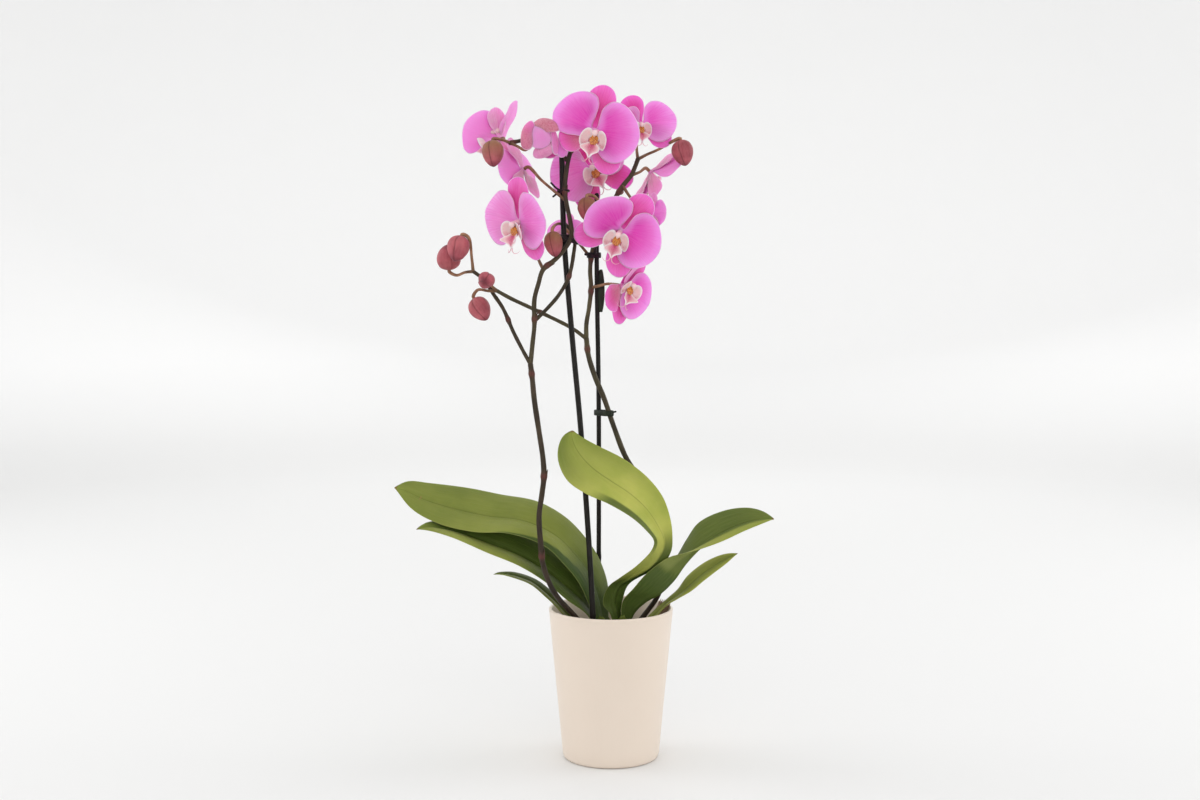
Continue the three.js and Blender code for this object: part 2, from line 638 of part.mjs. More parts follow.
// A clip is a rounded bar round the stake and the stem, with a prong at its end
function clip({ from, to, high, wide, prong }) {
  const start = vec(from);
  const end = vec(to);
  const reach = end.clone().sub(start);
  const long = Math.hypot(reach.x, reach.y);
  const outline = new THREE.Shape();
  outline.absarc(long, 0, wide, -Math.PI / 2, Math.PI / 2);
  outline.absarc(0, 0, wide, Math.PI / 2, (3 * Math.PI) / 2);
  const bar = new THREE.ExtrudeGeometry(outline, { depth: high, bevelEnabled: false, curveSegments: 2 });
  bar.translate(0, 0, -high / 2).rotateZ(Math.atan2(reach.y, reach.x)).translate(...from);
  if (!prong) return solid(bar);
  return solid(bar).add(tube(prong, 0.9, 4, 8));
}

const CLIPS = {
  clip_1: {
    from: [-50, -13, 600], to: [-48, -20, 600], high: 5, wide: 5,
    prong: [[-52, -16, 600], [-58, -18, 604], [-62, -19, 608]],
  },
  clip_2: {
    from: [-48.4, -14, 551], to: [-39, -19, 551], high: 8, wide: 6,
    prong: [[-36, -19, 552], [-32, -19, 555]],
  },
  clip_3: {
    from: [-15, 14, 534], to: [-21, 12, 534], high: 6, wide: 4.8,
    prong: [[-23, 10, 534], [-27, 8, 535]],
  },
  clip_4: {
    from: [-15, 12.4, 588], to: [-12, 9, 588], high: 4, wide: 4.4,
    prong: [[-9, 8, 589], [-5, 6, 592]],
  },
  clip_5: {
    from: [-13, 20.3, 367], to: [-2, 11, 367], high: 6, wide: 5.2,
    prong: [[2, 9, 368], [5, 8, 369]],
  },
};

function sideClip() {
  const outline = new THREE.Shape();
  outline.moveTo(0, 0).lineTo(4.6, 6).lineTo(6, 16).lineTo(5.6, 30).lineTo(3, 42).lineTo(0, 45);
  const plate = new THREE.ExtrudeGeometry(outline, { depth: 3, bevelEnabled: false });
  return solid(plate.rotateX(Math.PI / 2).translate(-12.6, 17.6, 474));
}

// The whole plant

const COLOURS = {
  pot: ["#e6d6c6", 0.38],
  liner: ["#cfd4cf", 0.25],
  bark: ["#6b4a33", 0.95],
  crown: ["#7f8f4a", 0.6],
  leaf: ["#6f8a3e", 0.45],
  stem: ["#4a3526", 0.6],
  stake: ["#1f1a18", 0.5],
  clip: ["#231e1d", 0.5],
  green: ["#2c3a26", 0.5],
  tepal: ["#e05fb8", 0.6],
  lip: ["#e9c3c9", 0.5],
  bud: ["#a45a68", 0.6],
};

const plant = new THREE.Group();

function add(name, piece, look) {
  const mesh = piece.getMesh();
  const geometry = new THREE.BufferGeometry();
  geometry.setAttribute("position", new THREE.Float32BufferAttribute(mesh.vertProperties, 3));
  geometry.setIndex(new THREE.BufferAttribute(mesh.triVerts, 1));
  const [color, roughness] = COLOURS[look];
  const material = new THREE.MeshStandardMaterial({ color, roughness, metalness: 0 });
  const made = new THREE.Mesh(geometry.toNonIndexed(), material);
  made.geometry.computeVertexNormals();
  made.name = name;
  plant.add(made);
}

const crownHole = crown(GAP);
const stakeHoles = [stakeLeft(GAP), stakeRight(GAP)];
const stemHoles = [spikeLeft(GAP), spikeRight(GAP)];

add("pot", pot(), "pot");
add("nursery_pot", nurseryPot(), "liner");
add("bark", largest(without(bark(), [crownHole, ...stakeHoles, ...stemHoles])), "bark");
add("crown", largest(without(crown(0), stakeHoles)), "crown");
for (const [name, data] of Object.entries(LEAVES)) {
  add(name, largest(leaf(data).subtract(crownHole)), "leaf");
}
add("spike_left", largest(spikeLeft(0).subtract(crownHole)), "stem");
add("spike_right", largest(spikeRight(0).subtract(crownHole)), "stem");
add("stake_left", stakeLeft(0), "stake");
add("stake_right", stakeRight(0), "stake");
for (const [name, data] of Object.entries(CLIPS)) {
  add(name, largest(without(clip(data), [...stakeHoles, ...stemHoles])), "clip");
}
add("side_clip", largest(without(sideClip(), [...stakeHoles, ...stemHoles])), "green");
for (const [name, bloom] of Object.entries(BLOOMS)) {
  const open = tepals(bloom, 0);
  add(name, open, "tepal");
  add(`${name}_lip`, largest(without(lip(bloom), [tepals(bloom, GAP), open])), "lip");
}
add("bloom_half_open", tepals(HALF_OPEN, 0), "tepal");
for (const [name, data] of Object.entries(BUDS)) add(name, bud(data), "bud");

export default plant;
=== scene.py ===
# A moth orchid in a ceramic cover pot: two branched flower spikes on dark stakes, pink blooms
# and buds, strap leaves, and bark in a nursery pot inside. Lengths below are in millimetres.
import math

import bpy
import numpy as np
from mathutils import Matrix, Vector


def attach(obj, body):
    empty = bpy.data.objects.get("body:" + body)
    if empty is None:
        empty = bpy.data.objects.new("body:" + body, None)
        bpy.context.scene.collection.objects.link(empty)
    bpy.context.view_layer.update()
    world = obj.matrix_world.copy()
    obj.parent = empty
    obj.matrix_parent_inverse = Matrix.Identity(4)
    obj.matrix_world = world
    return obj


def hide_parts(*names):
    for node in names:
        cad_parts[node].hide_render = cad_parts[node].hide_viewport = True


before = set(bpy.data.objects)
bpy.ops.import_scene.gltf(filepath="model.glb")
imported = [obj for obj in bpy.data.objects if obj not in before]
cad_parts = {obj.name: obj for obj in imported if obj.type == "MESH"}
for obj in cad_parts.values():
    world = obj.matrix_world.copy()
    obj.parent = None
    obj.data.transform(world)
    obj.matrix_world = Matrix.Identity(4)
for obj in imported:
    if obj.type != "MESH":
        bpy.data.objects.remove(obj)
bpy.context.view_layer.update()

mm = 0.001
gap = 0.3  # between pieces that touch
xAxis, yAxis, zAxis = np.eye(3)


# Shapes

def unit(vectors):
    # each vector divided by its length
    size = np.linalg.norm(vectors, axis=-1, keepdims=True)
    return vectors / np.maximum(size, 1e-9)


def lineAt(points, shares, closed=False):
    # the centripetal Catmull-Rom curve through points, read at shares of its whole length
    p = np.array(points, float)
    if closed:
        p = np.vstack([p[-1], p, p[0], p[1]])
    else:
        p = np.vstack([2 * p[0] - p[1], p, 2 * p[-1] - p[-2]])
    step = np.sqrt(np.linalg.norm(np.diff(p, axis=0), axis=1))[:, None, None]
    a, b, c = step[:-2], step[1:-1], step[2:]
    p0, p1, p2, p3 = (p[i : len(p) - 3 + i, None] for i in range(4))
    leave = ((p1 - p0) / a - (p2 - p0) / (a + b) + (p2 - p1) / b) * b
    arrive = ((p2 - p1) / b - (p3 - p1) / (b + c) + (p3 - p2) / c) * b
    t = np.linspace(0, 1, 24, endpoint=False)[None, :, None]
    fine = (2 * t**3 - 3 * t**2 + 1) * p1 + (t**3 - 2 * t**2 + t) * leave
    fine = fine + (3 * t**2 - 2 * t**3) * p2 + (t**3 - t**2) * arrive
    fine = np.vstack([fine.reshape(-1, p.shape[1]), p[-2]])
    walked = np.concatenate([[0], np.cumsum(np.linalg.norm(np.diff(fine, axis=0), axis=1))])
    at = np.asarray(shares) * walked[-1]
    return np.stack([np.interp(at, walked, fine[:, k]) for k in range(p.shape[1])], axis=-1)


def rampUp(value, low, high):
    # 0 below low and 1 above high, smooth between: t t (3 - 2 t)
    t = np.clip((value - low) / (high - low), 0, 1)
    return t * t * (3 - 2 * t)


def lengthOf(points):
    # the length of the curve through points
    return np.linalg.norm(np.diff(lineAt(points, np.linspace(0, 1, 60)), axis=0), axis=1).sum()


def turnedAbout(points, axis, degrees):
    # Rodrigues: p cos + (axis x p) sin + axis (axis . p)(1 - cos)
    turn = math.radians(degrees)
    along = (points @ axis)[..., None] * axis
    return points * math.cos(turn) + np.cross(axis, points) * math.sin(turn) + along * (1 - math.cos(turn))


def gridFaces(index, wrap=False):
    # quads between the rows and columns of a grid of vertex numbers
    right = np.roll(index, -1, axis=1) if wrap else index[:, 1:]
    left = index if wrap else index[:, :-1]
    return np.stack([left[:-1], left[1:], right[1:], right[:-1]], axis=-1).reshape(-1, 4)


def taper(value, power):
    # 1 in the middle and 0 at -1 and 1: sqrt(1 - value^power)
    return np.sqrt(np.maximum(0, 1 - np.abs(value) ** power))


def strip(rows, columns, packed=False):
    # u from 0 to 1 along and v from -1 to 1 across, or sin(pi v / 2) to pack it at both sides
    v = np.linspace(-1, 1, columns)
    v = np.sin(v * math.pi / 2) if packed else v
    return np.meshgrid(np.linspace(0, 1, rows), v, indexing="ij")


def lens(middle, half, **looks):
    # a closed skin round a sheet: each point goes out by its half thickness along the sheet's
    # normal to both sides, and the margin, where that is nothing, is shared by both
    rows, columns = half.shape
    normal = unit(np.cross(np.gradient(middle, axis=0), np.gradient(middle, axis=1)))
    front = np.arange(rows * columns).reshape(rows, columns)
    back = front.copy()
    inner = (slice(1, -1), slice(1, -1))
    back[inner] = rows * columns + np.arange((rows - 2) * (columns - 2)).reshape(rows - 2, columns - 2)
    out = normal * half[..., None]
    out[0] = out[-1] = 0
    out[:, 0] = out[:, -1] = 0
    points = np.vstack([(middle + out).reshape(-1, 3), (middle - out)[inner].reshape(-1, 3)])
    values = {}
    for name, value in looks.items():
        grid = np.broadcast_to(np.asarray(value, float), half.shape)
        values[name] = np.concatenate([grid.ravel(), grid[inner].ravel()])
    values["back"] = np.concatenate([np.zeros(rows * columns), np.ones((rows - 2) * (columns - 2))])
    faces = np.vstack([gridFaces(front), gridFaces(back)[:, ::-1]])
    return {"points": points, "faces": [faces], "looks": values}


def disc(steps):
    # a square grid pressed into the unit disc: a = s sqrt(1 - t^2 / 2), b = t sqrt(1 - s^2 / 2),
    # and r = sqrt(a^2 + b^2)
    s, t = np.meshgrid(np.linspace(-1, 1, steps), np.linspace(-1, 1, steps), indexing="ij")
    a, b = s * np.sqrt(1 - t**2 / 2), t * np.sqrt(1 - s**2 / 2)
    return a, b, np.hypot(a, b)


def capped(rings, **looks):
    # rings of points closed by a pole at each end, which is the middle of its last ring
    count, around = rings.shape[:2]
    index = np.arange(count * around).reshape(count, around)
    poles = np.array([rings[0].mean(axis=0), rings[-1].mean(axis=0)])
    first, last = count * around, count * around + 1
    faces = [
        gridFaces(index, wrap=True),
        np.stack([np.full(around, first), index[0], np.roll(index[0], -1)], axis=-1),
        np.stack([np.full(around, last), np.roll(index[-1], -1), index[-1]], axis=-1),
    ]
    values = {}
    for name, value in looks.items():
        grid = np.broadcast_to(np.asarray(value, float), (count, around))
        values[name] = np.concatenate([grid.ravel(), [grid[0].mean(), grid[-1].mean()]])
    return {"points": np.vstack([rings.reshape(-1, 3), poles]), "faces": faces, "looks": values}


def turned(profile, around, **looks):
    # [radius, height] pairs carried round +Z
    r, z = np.array(profile, float).T[:, :, None]
    return capped(spun(np.maximum(r, 1e-3), z, circle(around)[::-1][None]), **looks)


def arc(centre, radius, start, end, steps):
    # points on a circle from one angle to another
    turn = np.radians(np.linspace(start, end, steps))
    return [[centre[0] + radius * math.cos(a), centre[1] + radius * math.sin(a)] for a in turn]


def circle(steps):
    # angles round a whole turn
    return np.linspace(0, 2 * math.pi, steps, endpoint=False)


def spun(r, z, turn):
    # each radius and height at each angle: (r cos, r sin, z)
    return np.stack([r * np.cos(turn), r * np.sin(turn), z + 0 * turn], axis=-1)


def pathSides(line):
    # two directions square to the path, carried along it without turning about it
    way = unit(np.gradient(line, axis=0))
    side = np.empty_like(line)
    side[0] = unit(np.cross(way[0], xAxis if abs(way[0][0]) < 0.8 else yAxis))
    for i in range(1, len(line)):
        side[i] = unit(side[i - 1] - way[i] * (side[i - 1] @ way[i]))
    return way, side, np.cross(way, side)


def tube(points, radius, around, step, **looks):
    # a round section carried along a curve: p + r (side cos + other sin); radius may be a
    # function of the share of the length, and two smaller rings past each end round it off
    count = max(8, int(lengthOf(points) / step))
    shares = np.linspace(0, 1, count)
    line = lineAt(points, shares)
    way, side, other = pathSides(line)
    size = radius(shares) if callable(radius) else np.full(count, float(radius))
    turn = circle(around)[None, :, None]
    ring = side[:, None] * np.cos(turn) + other[:, None] * np.sin(turn)
    rings = line[:, None] + ring * size[:, None, None]
    pastAndWide = [(0.5, 0.85), (0.85, 0.4)]
    starts = [line[0] + size[0] * (ring[0] * wide - way[0] * past) for past, wide in pastAndWide[::-1]]
    ends = [line[-1] + size[-1] * (ring[-1] * wide + way[-1] * past) for past, wide in pastAndWide]
    rings = np.concatenate([starts, rings, ends])[:, ::-1]
    full = {}
    for name, value in looks.items():
        grid = np.asarray(value(shares) if callable(value) else np.full(count, float(value)))
        full[name] = np.concatenate([[grid[0]] * 2, grid, [grid[-1]] * 2])[:, None]
    return capped(rings, **full)


def moved(part, turn, place):
    # turned by a matrix, then moved to its place
    part["points"] = part["points"] @ np.asarray(turn).T + np.asarray(place, float)
    return part


def turnTo(direction):
    # a rotation that carries +Z to the direction, by the shortest way
    way = unit(np.array(direction, float))
    side = np.cross(zAxis, way)
    lean = np.linalg.norm(side)
    if lean < 1e-6:
        return np.diag([1.0, math.copysign(1, way[2]), math.copysign(1, way[2])])
    return turnedAbout(np.eye(3), side / lean, math.degrees(math.atan2(lean, way[2]))).T


def smoothNoise(points, size, seed):
    # a sum of nine sine waves in drawn directions, from about -1 to 1
    draw = np.random.default_rng(seed)
    waves = unit(draw.normal(size=(9, 3))) * draw.uniform(0.6, 1.8, (9, 1)) / size
    return np.sin(points @ waves.T * 2 * math.pi + draw.uniform(0, 6.28, 9)).sum(axis=-1) / 4


def makePiece(name, parts, materials, replaced):
    # one mesh from several parts; each part may say which material it wears
    points, faces, slots, looks = [], [], [], {}
    start = 0
    names = sorted({n for part in parts for n in part.get("looks", {})})
    for part in parts:
        points.append(part["points"])
        for block in part["faces"]:
            faces += (np.asarray(block) + start).tolist()
            slots += [part.get("material", 0)] * len(block)
        for n in names:
            value = part.get("looks", {}).get(n, np.zeros(len(part["points"])))
            looks.setdefault(n, []).append(value)
        start += len(part["points"])
    mesh = bpy.data.meshes.new(name)
    mesh.from_pydata((np.vstack(points) * mm).tolist(), [], faces)
    for n in names:
        values = np.concatenate(looks[n]).astype(np.float32)
        mesh.attributes.new(n, "FLOAT", "POINT").data.foreach_set("value", values)
    for material in materials:
        mesh.materials.append(material)
    mesh.polygons.foreach_set("material_index", np.array(slots, np.int32))
    mesh.polygons.foreach_set("use_smooth", np.ones(len(mesh.polygons), bool))
    mesh.update()
    piece = bpy.data.objects.new(name, mesh)
    bpy.context.scene.collection.objects.link(piece)
    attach(piece, "root")
    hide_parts(*replaced)


# Nodes: a value may be a number, a colour or another node's socket

class Tree:
    # a node tree and short ways to add to it
    def __init__(self, tree):
        self.tree = tree

    def plug(self, socket, value):
        if isinstance(value, bpy.types.NodeSocket):
            self.tree.links.new(value, socket)
        elif isinstance(value, tuple) and socket.type == "RGBA":
            socket.default_value = (*value, 1)
        else:
            socket.default_value = value

    def add(self, kind, inputs, **settings):
        # a new node with its settings, and its inputs by name or number
        made = self.tree.nodes.new("ShaderNode" + kind)
        for name, value in settings.items():
            setattr(made, name, value)
        for name, value in inputs.items():
            self.plug(made.inputs[name], value)
        return made

    def maths(self, operation, a, b=0.0, clamp=False):
        return self.add("Math", {0: a, 1: b}, operation=operation, use_clamp=clamp).outputs[0]

    def times(self, a, b):
        return self.maths("MULTIPLY", a, b)

    def mix(self, share, low, high):
        return self.add("Mix", {0: share, 6: low, 7: high}, data_type="RGBA").outputs[2]

    def spread(self, value, low, high, toLow=0.0, toHigh=1.0):
        # a smooth step from toLow, at low, to toHigh, at high
        inputs = {0: value, 1: low, 2: high, 3: toLow, 4: toHigh}
        return self.add("MapRange", inputs, interpolation_type="SMOOTHSTEP").outputs[0]

    def look(self, name):
        # an attribute of the piece's own mesh
        return self.add("Attribute", {}, attribute_name=name).outputs["Fac"]

    def place(self):
        # the place on the piece in metres
        return self.add("TexCoord", {}).outputs["Object"]

    def noise(self, vector, scale, detail=3.0, rough=0.5):
        inputs = {"Vector": vector, "Scale": scale, "Detail": detail, "Roughness": rough}
        return self.add("TexNoise", inputs).outputs[0]

    def combine(self, x, y):
        return self.add("CombineXYZ", {0: x, 1: y}).outputs[0]

    def use(self, group, inputs):
        return self.add("Group", inputs, node_tree=group).outputs


def newGroup(name, inputs, outputs):
    # inputs are name: default, outputs are name: kind
    group = bpy.data.node_groups.new(name, "ShaderNodeTree")
    for label, default in inputs.items():
        isColour = isinstance(default, tuple)
        kind = "NodeSocketColor" if isColour else "NodeSocketFloat"
        socket = group.interface.new_socket(label, in_out="INPUT", socket_type=kind)
        socket.default_value = (*default, 1) if isColour else default
    for label, kind in outputs.items():
        group.interface.new_socket(label, in_out="OUTPUT", socket_type="NodeSocket" + kind)
    into = group.nodes.new("NodeGroupInput")
    out = group.nodes.new("NodeGroupOutput")
    return Tree(group), into.outputs, out.inputs


def mottleGroup():
    # two colours mixed by 2.6 contrast (noise - 0.5) + 0.5, with a fine grain as height
    inputs = {"Patch size": 40.0, "Grain size": 400.0, "Contrast": 1.0, "Low": (0, 0, 0), "High": (1, 1, 1)}
    group, into, out = newGroup("mottle", inputs, {"Colour": "Color", "Grain": "Float"})
    spot = group.place()
    patch = group.noise(spot, into["Patch size"], 4, 0.55)
    swing = group.times(group.maths("SUBTRACT", patch, 0.5), into["Contrast"])
    share = group.maths("ADD", group.times(swing, 2.6), 0.5, clamp=True)
    group.plug(out["Colour"], group.mix(share, into["Low"], into["High"]))
    group.plug(out["Grain"], group.noise(spot, into["Grain size"], 5, 0.6))
    return group.tree


def veinGroup():
    # fine lines along the reach, repeated over the fan and bent by a little noise
    inputs = {"Fan": 0.0, "Reach": 0.0, "Count": 40.0, "Wander": 0.04}
    group, into, out = newGroup("veins", inputs, {"Line": "Float"})
    wander = group.noise(group.combine(into["Fan"], into["Reach"]), 0.12, 2)
    bent = group.maths("ADD", into["Fan"], group.times(wander, into["Wander"]))
    spot = group.combine(group.times(bent, into["Count"]), group.times(into["Reach"], 0.035))
    group.plug(out["Line"], group.spread(group.noise(spot, 1.0, 3, 0.6), 0.35, 0.68))
    return group.tree


def speckleGroup():
    # round spots from a cell pattern on the piece's own place
    group, into, out = newGroup("speckle", {"Scale": 1200.0, "Size": 0.3}, {"Spot": "Float"})
    cells = group.add("TexVoronoi", {"Vector": group.place(), "Scale": into["Scale"]})
    edge = group.times(into["Size"], 1.5)
    group.plug(out["Spot"], group.spread(cells.outputs["Distance"], edge, into["Size"]))
    return group.tree


mottle = mottleGroup()
veins = veinGroup()
speckle = speckleGroup()


class Paint(Tree):
    # a Principled material whose body is the colour so far; plain values go onto its own sockets
    def __init__(self, name, **plain):
        self.material = bpy.data.materials.new(name)
        self.material.use_nodes = True
        super().__init__(self.material.node_tree)
        self.sockets = self.tree.nodes["Principled BSDF"].inputs
        for label, value in plain.items():
            self.sockets[label.replace("_", " ")].default_value = value

    def mottled(self, tones):
        # its colour and its grain
        inputs = {"Patch size": tones["patch"], "Grain size": tones["grain"], "Contrast": tones["contrast"]}
        out = self.use(mottle, {**inputs, "Low": tones["low"], "High": tones["high"]})
        return out["Colour"], out["Grain"]

    def veined(self, count, fan="fan"):
        return self.use(veins, {"Fan": self.look(fan), "Reach": self.look("reach"), "Count": count})["Line"]

    def speckled(self, scale, size):
        return self.use(speckle, {"Scale": scale, "Size": size})["Spot"]

    def roughen(self, grain, low, high):
        self.plug(self.sockets["Roughness"], self.spread(grain, 0.2, 0.8, low, high))

    def lay(self, share, tone, strength=None):
        # a tone over the body by a share, or by the look of that name; with a strength it is first
        # mixed with the body itself
        if strength is not None:
            tone = self.mix(strength, self.body, tone)
        share = self.look(share) if isinstance(share, str) else share
        self.body = self.mix(share, self.body, tone)

    def finish(self, height, distance, strength):
        # the body's colour and a bump of this height go onto the material
        self.plug(self.sockets["Base Color"], self.body)
        bump = self.add("Bump", {"Height": height, "Distance": distance, "Strength": strength})
        self.plug(self.sockets["Normal"], bump.outputs[0])
        return self.material


# Materials. Patches and grain are counted per metre, and a bump is its distance and strength.

darkPlastic = {
    "patch": 60.0, "grain": 1100.0, "contrast": 1.2, "rough": (0.32, 0.52), "bump": (0.0003, 0.4),
    "plain": {"Specular_IOR_Level": 0.22},
}
grainySkins = {
    "potGlaze": {
        "patch": 9.0, "grain": 700.0, "contrast": 0.5,
        "low": (0.79, 0.675, 0.57), "high": (0.84, 0.725, 0.62),
        "rough": (0.36, 0.5), "bump": (0.0002, 0.35), "fleck": (0.55, 0.42, 0.32),
        "plain": {"Coat_Weight": 0.2, "Coat_Roughness": 0.3, "Specular_IOR_Level": 0.4},
    },
    "linerPlastic": {
        "patch": 30.0, "grain": 200.0, "contrast": 1.0,
        "low": (0.42, 0.44, 0.40), "high": (0.62, 0.64, 0.60),
        "bump": (0.0003, 0.3), "plain": {"Roughness": 0.3},
    },
    "barkWood": {
        "patch": 70.0, "grain": 420.0, "contrast": 1.6,
        "low": (0.045, 0.022, 0.012), "high": (0.24, 0.12, 0.06),
        "rough": (0.75, 0.98), "bump": (0.0012, 0.8), "plain": {"Specular_IOR_Level": 0.25},
    },
    "stakePlastic": {**darkPlastic, "low": (0.005, 0.004, 0.003), "high": (0.014, 0.011, 0.009)},
    "clipPlastic": {
        **darkPlastic, "low": (0.006, 0.004, 0.005), "high": (0.022, 0.014, 0.016), "rough": (0.37, 0.57),
    },
    "greenClipPlastic": {**darkPlastic, "low": (0.007, 0.010, 0.006), "high": (0.022, 0.030, 0.015)},
    "rootSkin": {  # silvery green
        "patch": 80.0, "grain": 900.0, "contrast": 1.0,
        "low": (0.150, 0.170, 0.080), "high": (0.360, 0.370, 0.250),
        "bump": (0.0004, 0.6), "plain": {"Roughness": 0.75},
    },
}


def grainySkin(name):
    # two mottled tones under a fine grain, on the pot with faint flecks
    data = grainySkins[name]
    paint = Paint(name, **data["plain"])
    paint.body, grain = paint.mottled(data)
    if "fleck" in data:
        paint.lay(paint.times(paint.speckled(330.0, 0.07), 0.12), data["fleck"])
    if "rough" in data:
        paint.roughen(grain, *data["rough"])
    return paint.finish(grain, *data["bump"])


leafTones = {
    "old": {
        "patch": 13.0, "grain": 900.0, "contrast": 1.1,
        "low": (0.150, 0.185, 0.026), "high": (0.235, 0.265, 0.048),
    },
    # painted light: the yellow-green laid where a blade is lit or light shines through it
    "young": {
        "patch": 12.0, "grain": 900.0, "contrast": 1.2,
        "low": (0.310, 0.370, 0.050), "high": (0.560, 0.540, 0.125),
    },
    # deep is painted shade: the dark green laid where shade falls on a blade
    "deep": (0.036, 0.070, 0.008), "vein": (0.42, 0.46, 0.15), "rib": (0.055, 0.085, 0.008),
    "speck": (0.300, 0.190, 0.060), "below": (0.190, 0.225, 0.075), "rim": (0.34, 0.34, 0.10),
    "tip": (0.200, 0.105, 0.040),
}


def leafSkin():
    # waxy green: dark at the base and wherever shade falls on the blade, laid as painted shade,
    # yellow-green laid as painted light where it is lit, paler below, with a dark rib line, a pale
    # rim and a few brown specks
    tones = leafTones
    paint = Paint(
        "leafSkin", Subsurface_Weight=0.1, Subsurface_Scale=0.004, Subsurface_Radius=(0.6, 1.0, 0.2),
        Coat_Weight=0.02, Coat_Roughness=0.3, Specular_IOR_Level=0.2,
    )
    paint.body, grain = paint.mottled(tones["old"])
    # painted light: the yellow-green laid over the body where the blade is lit
    paint.lay("young", paint.mottled(tones["young"])[0])
    # painted shade: the dark green laid by deep
    paint.lay("deep", tones["deep"])
    line = paint.veined(26.0, "across")
    paint.lay(paint.times(line, 0.14), tones["vein"], 0.5)
    out = paint.maths("ABSOLUTE", paint.look("across"))
    paint.lay(paint.spread(out, 0.0, 0.03, 0.6, 0.0), tones["rib"], 0.75)
    specks = paint.noise(paint.place(), 85.0, 1)
    paint.lay(paint.spread(specks, 0.795, 0.83, 0.0, 0.6), tones["speck"])
    # the paler underside is laid weaker where deep lays painted shade
    paler = paint.spread(paint.look("deep"), 0.1, 0.8, 0.5, 0.06)
    paint.lay("under", tones["below"], paler)
    paint.lay(paint.spread(out, 0.95, 1.0, 0.0, 0.4), tones["rim"])
    paint.lay("tip", tones["tip"])
    paint.roughen(grain, 0.40, 0.56)
    height = paint.maths("ADD", paint.times(line, 0.5), paint.times(grain, 0.25))
    return paint.finish(height, 0.0005, 0.45)


stemTones = {
    "brown": {
        "patch": 45.0, "grain": 900.0, "contrast": 1.3,
        "low": (0.016, 0.009, 0.006), "high": (0.050, 0.031, 0.018),
    },
    "olive": {
        "patch": 50.0, "grain": 900.0, "contrast": 1.2,
        "low": (0.045, 0.036, 0.018), "high": (0.118, 0.102, 0.046),
    },
    "tan": {
        "patch": 110.0, "grain": 900.0, "contrast": 1.1,
        "low": (0.165, 0.075, 0.042), "high": (0.410, 0.218, 0.122),
    },
    "joint": (0.130, 0.035, 0.030),
}


def stemSkin():
    # dark brown below, olive above, reddish at the joints and tan on the flower stalks
    paint = Paint("stemSkin", Specular_IOR_Level=0.25)
    paint.body, grain = paint.mottled(stemTones["brown"])
    for name in ("olive", "tan"):
        paint.lay(name, paint.mottled(stemTones[name])[0])
    paint.lay("node", stemTones["joint"])
    paint.roughen(grain, 0.42, 0.6)
    return paint.finish(grain, 0.0004, 0.5)


petalTones = {
    # each pair is the tone at the margin and down the middle, or between and along the veins
    "petal": ((0.850, 0.305, 0.720), (0.680, 0.048, 0.430)),
    "sepal": ((0.820, 0.150, 0.520), (0.600, 0.026, 0.255)),
    # the pale pair is laid as painted light on tepals that stand in shade
    "pale": ((0.850, 0.310, 0.600), (0.920, 0.560, 0.770)),
    # the back tones are paler by nature and lightened further as painted light against their shade
    "sepalBack": ((0.850, 0.350, 0.540), (0.910, 0.540, 0.700)),
    "petalBack": (0.850, 0.330, 0.640), "vein": (0.930, 0.520, 0.800), "rim": (0.970, 0.700, 0.880),
    "dusty": (0.610, 0.255, 0.315), "spot": (0.420, 0.040, 0.130),
}


def petalSkin():
    # magenta down the middle, fading to a pale margin with a thin bright rim; veins fan out from
    # the claw; sepals are deeper, dusty ones are spotted at their base, and every back is paler,
    # its own paler tone lightened further as painted light against the shade that greys it; a
    # paler pink goes on as painted light where a tepal stands in shade
    tones = petalTones
    paint = Paint(
        "petalSkin", Subsurface_Weight=0.55, Subsurface_Scale=0.003, Subsurface_Radius=(1.0, 0.35, 0.75),
        Sheen_Weight=0.12, Roughness=0.55, Specular_IOR_Level=0.3,
    )
    reach, rim, sepal = paint.look("reach"), paint.look("rim"), paint.look("sepal")
    line = paint.veined(46.0)
    cloud = paint.maths("SUBTRACT", paint.noise(paint.place(), 38.0), 0.5)
    middle = paint.times(paint.spread(reach, 14.0, 56.0, 1.0, 0.0), paint.spread(rim, 0.0, 11.0, 0.25, 1.0))
    middle = paint.maths("ADD", middle, paint.times(cloud, 0.5), clamp=True)
    paint.body = paint.mix(sepal, paint.mix(middle, *tones["petal"]), paint.mix(middle, *tones["sepal"]))
    paint.lay(paint.times(line, 0.26), tones["vein"], 0.5)
    # painted light: the paler pink where a tepal stands in shade, as bloom_7's do under bloom_4
    paint.lay("pale", paint.mix(line, *tones["pale"]))
    dusty = paint.times(paint.look("dusty"), paint.spread(reach, 34.0, 8.0))
    paint.lay(dusty, tones["dusty"])
    spots = paint.times(paint.speckled(1150.0, 0.30), paint.times(dusty, 0.8))
    paint.lay(spots, tones["spot"])
    # the backs' paler tones, lightened as painted light against their shade
    back = paint.mix(sepal, tones["petalBack"], paint.mix(line, *tones["sepalBack"]))
    paint.lay(paint.times(paint.look("back"), 0.6), back)
    paint.lay(paint.spread(rim, 0.1, 0.9, 0.6, 0.0), tones["rim"])
    return paint.finish(line, 0.00035, 0.35)


lipTones = {
    # each pair is the tone between the veins and along them
    "body": ((0.900, 0.690, 0.690), (0.800, 0.350, 0.450)),
    "magenta": ((0.520, 0.035, 0.150), (0.700, 0.130, 0.310)),
    "gold": ((0.800, 0.380, 0.050), (0.560, 0.130, 0.030)),
    "rust": (0.400, 0.050, 0.030), "rim": (0.960, 0.880, 0.890),
}


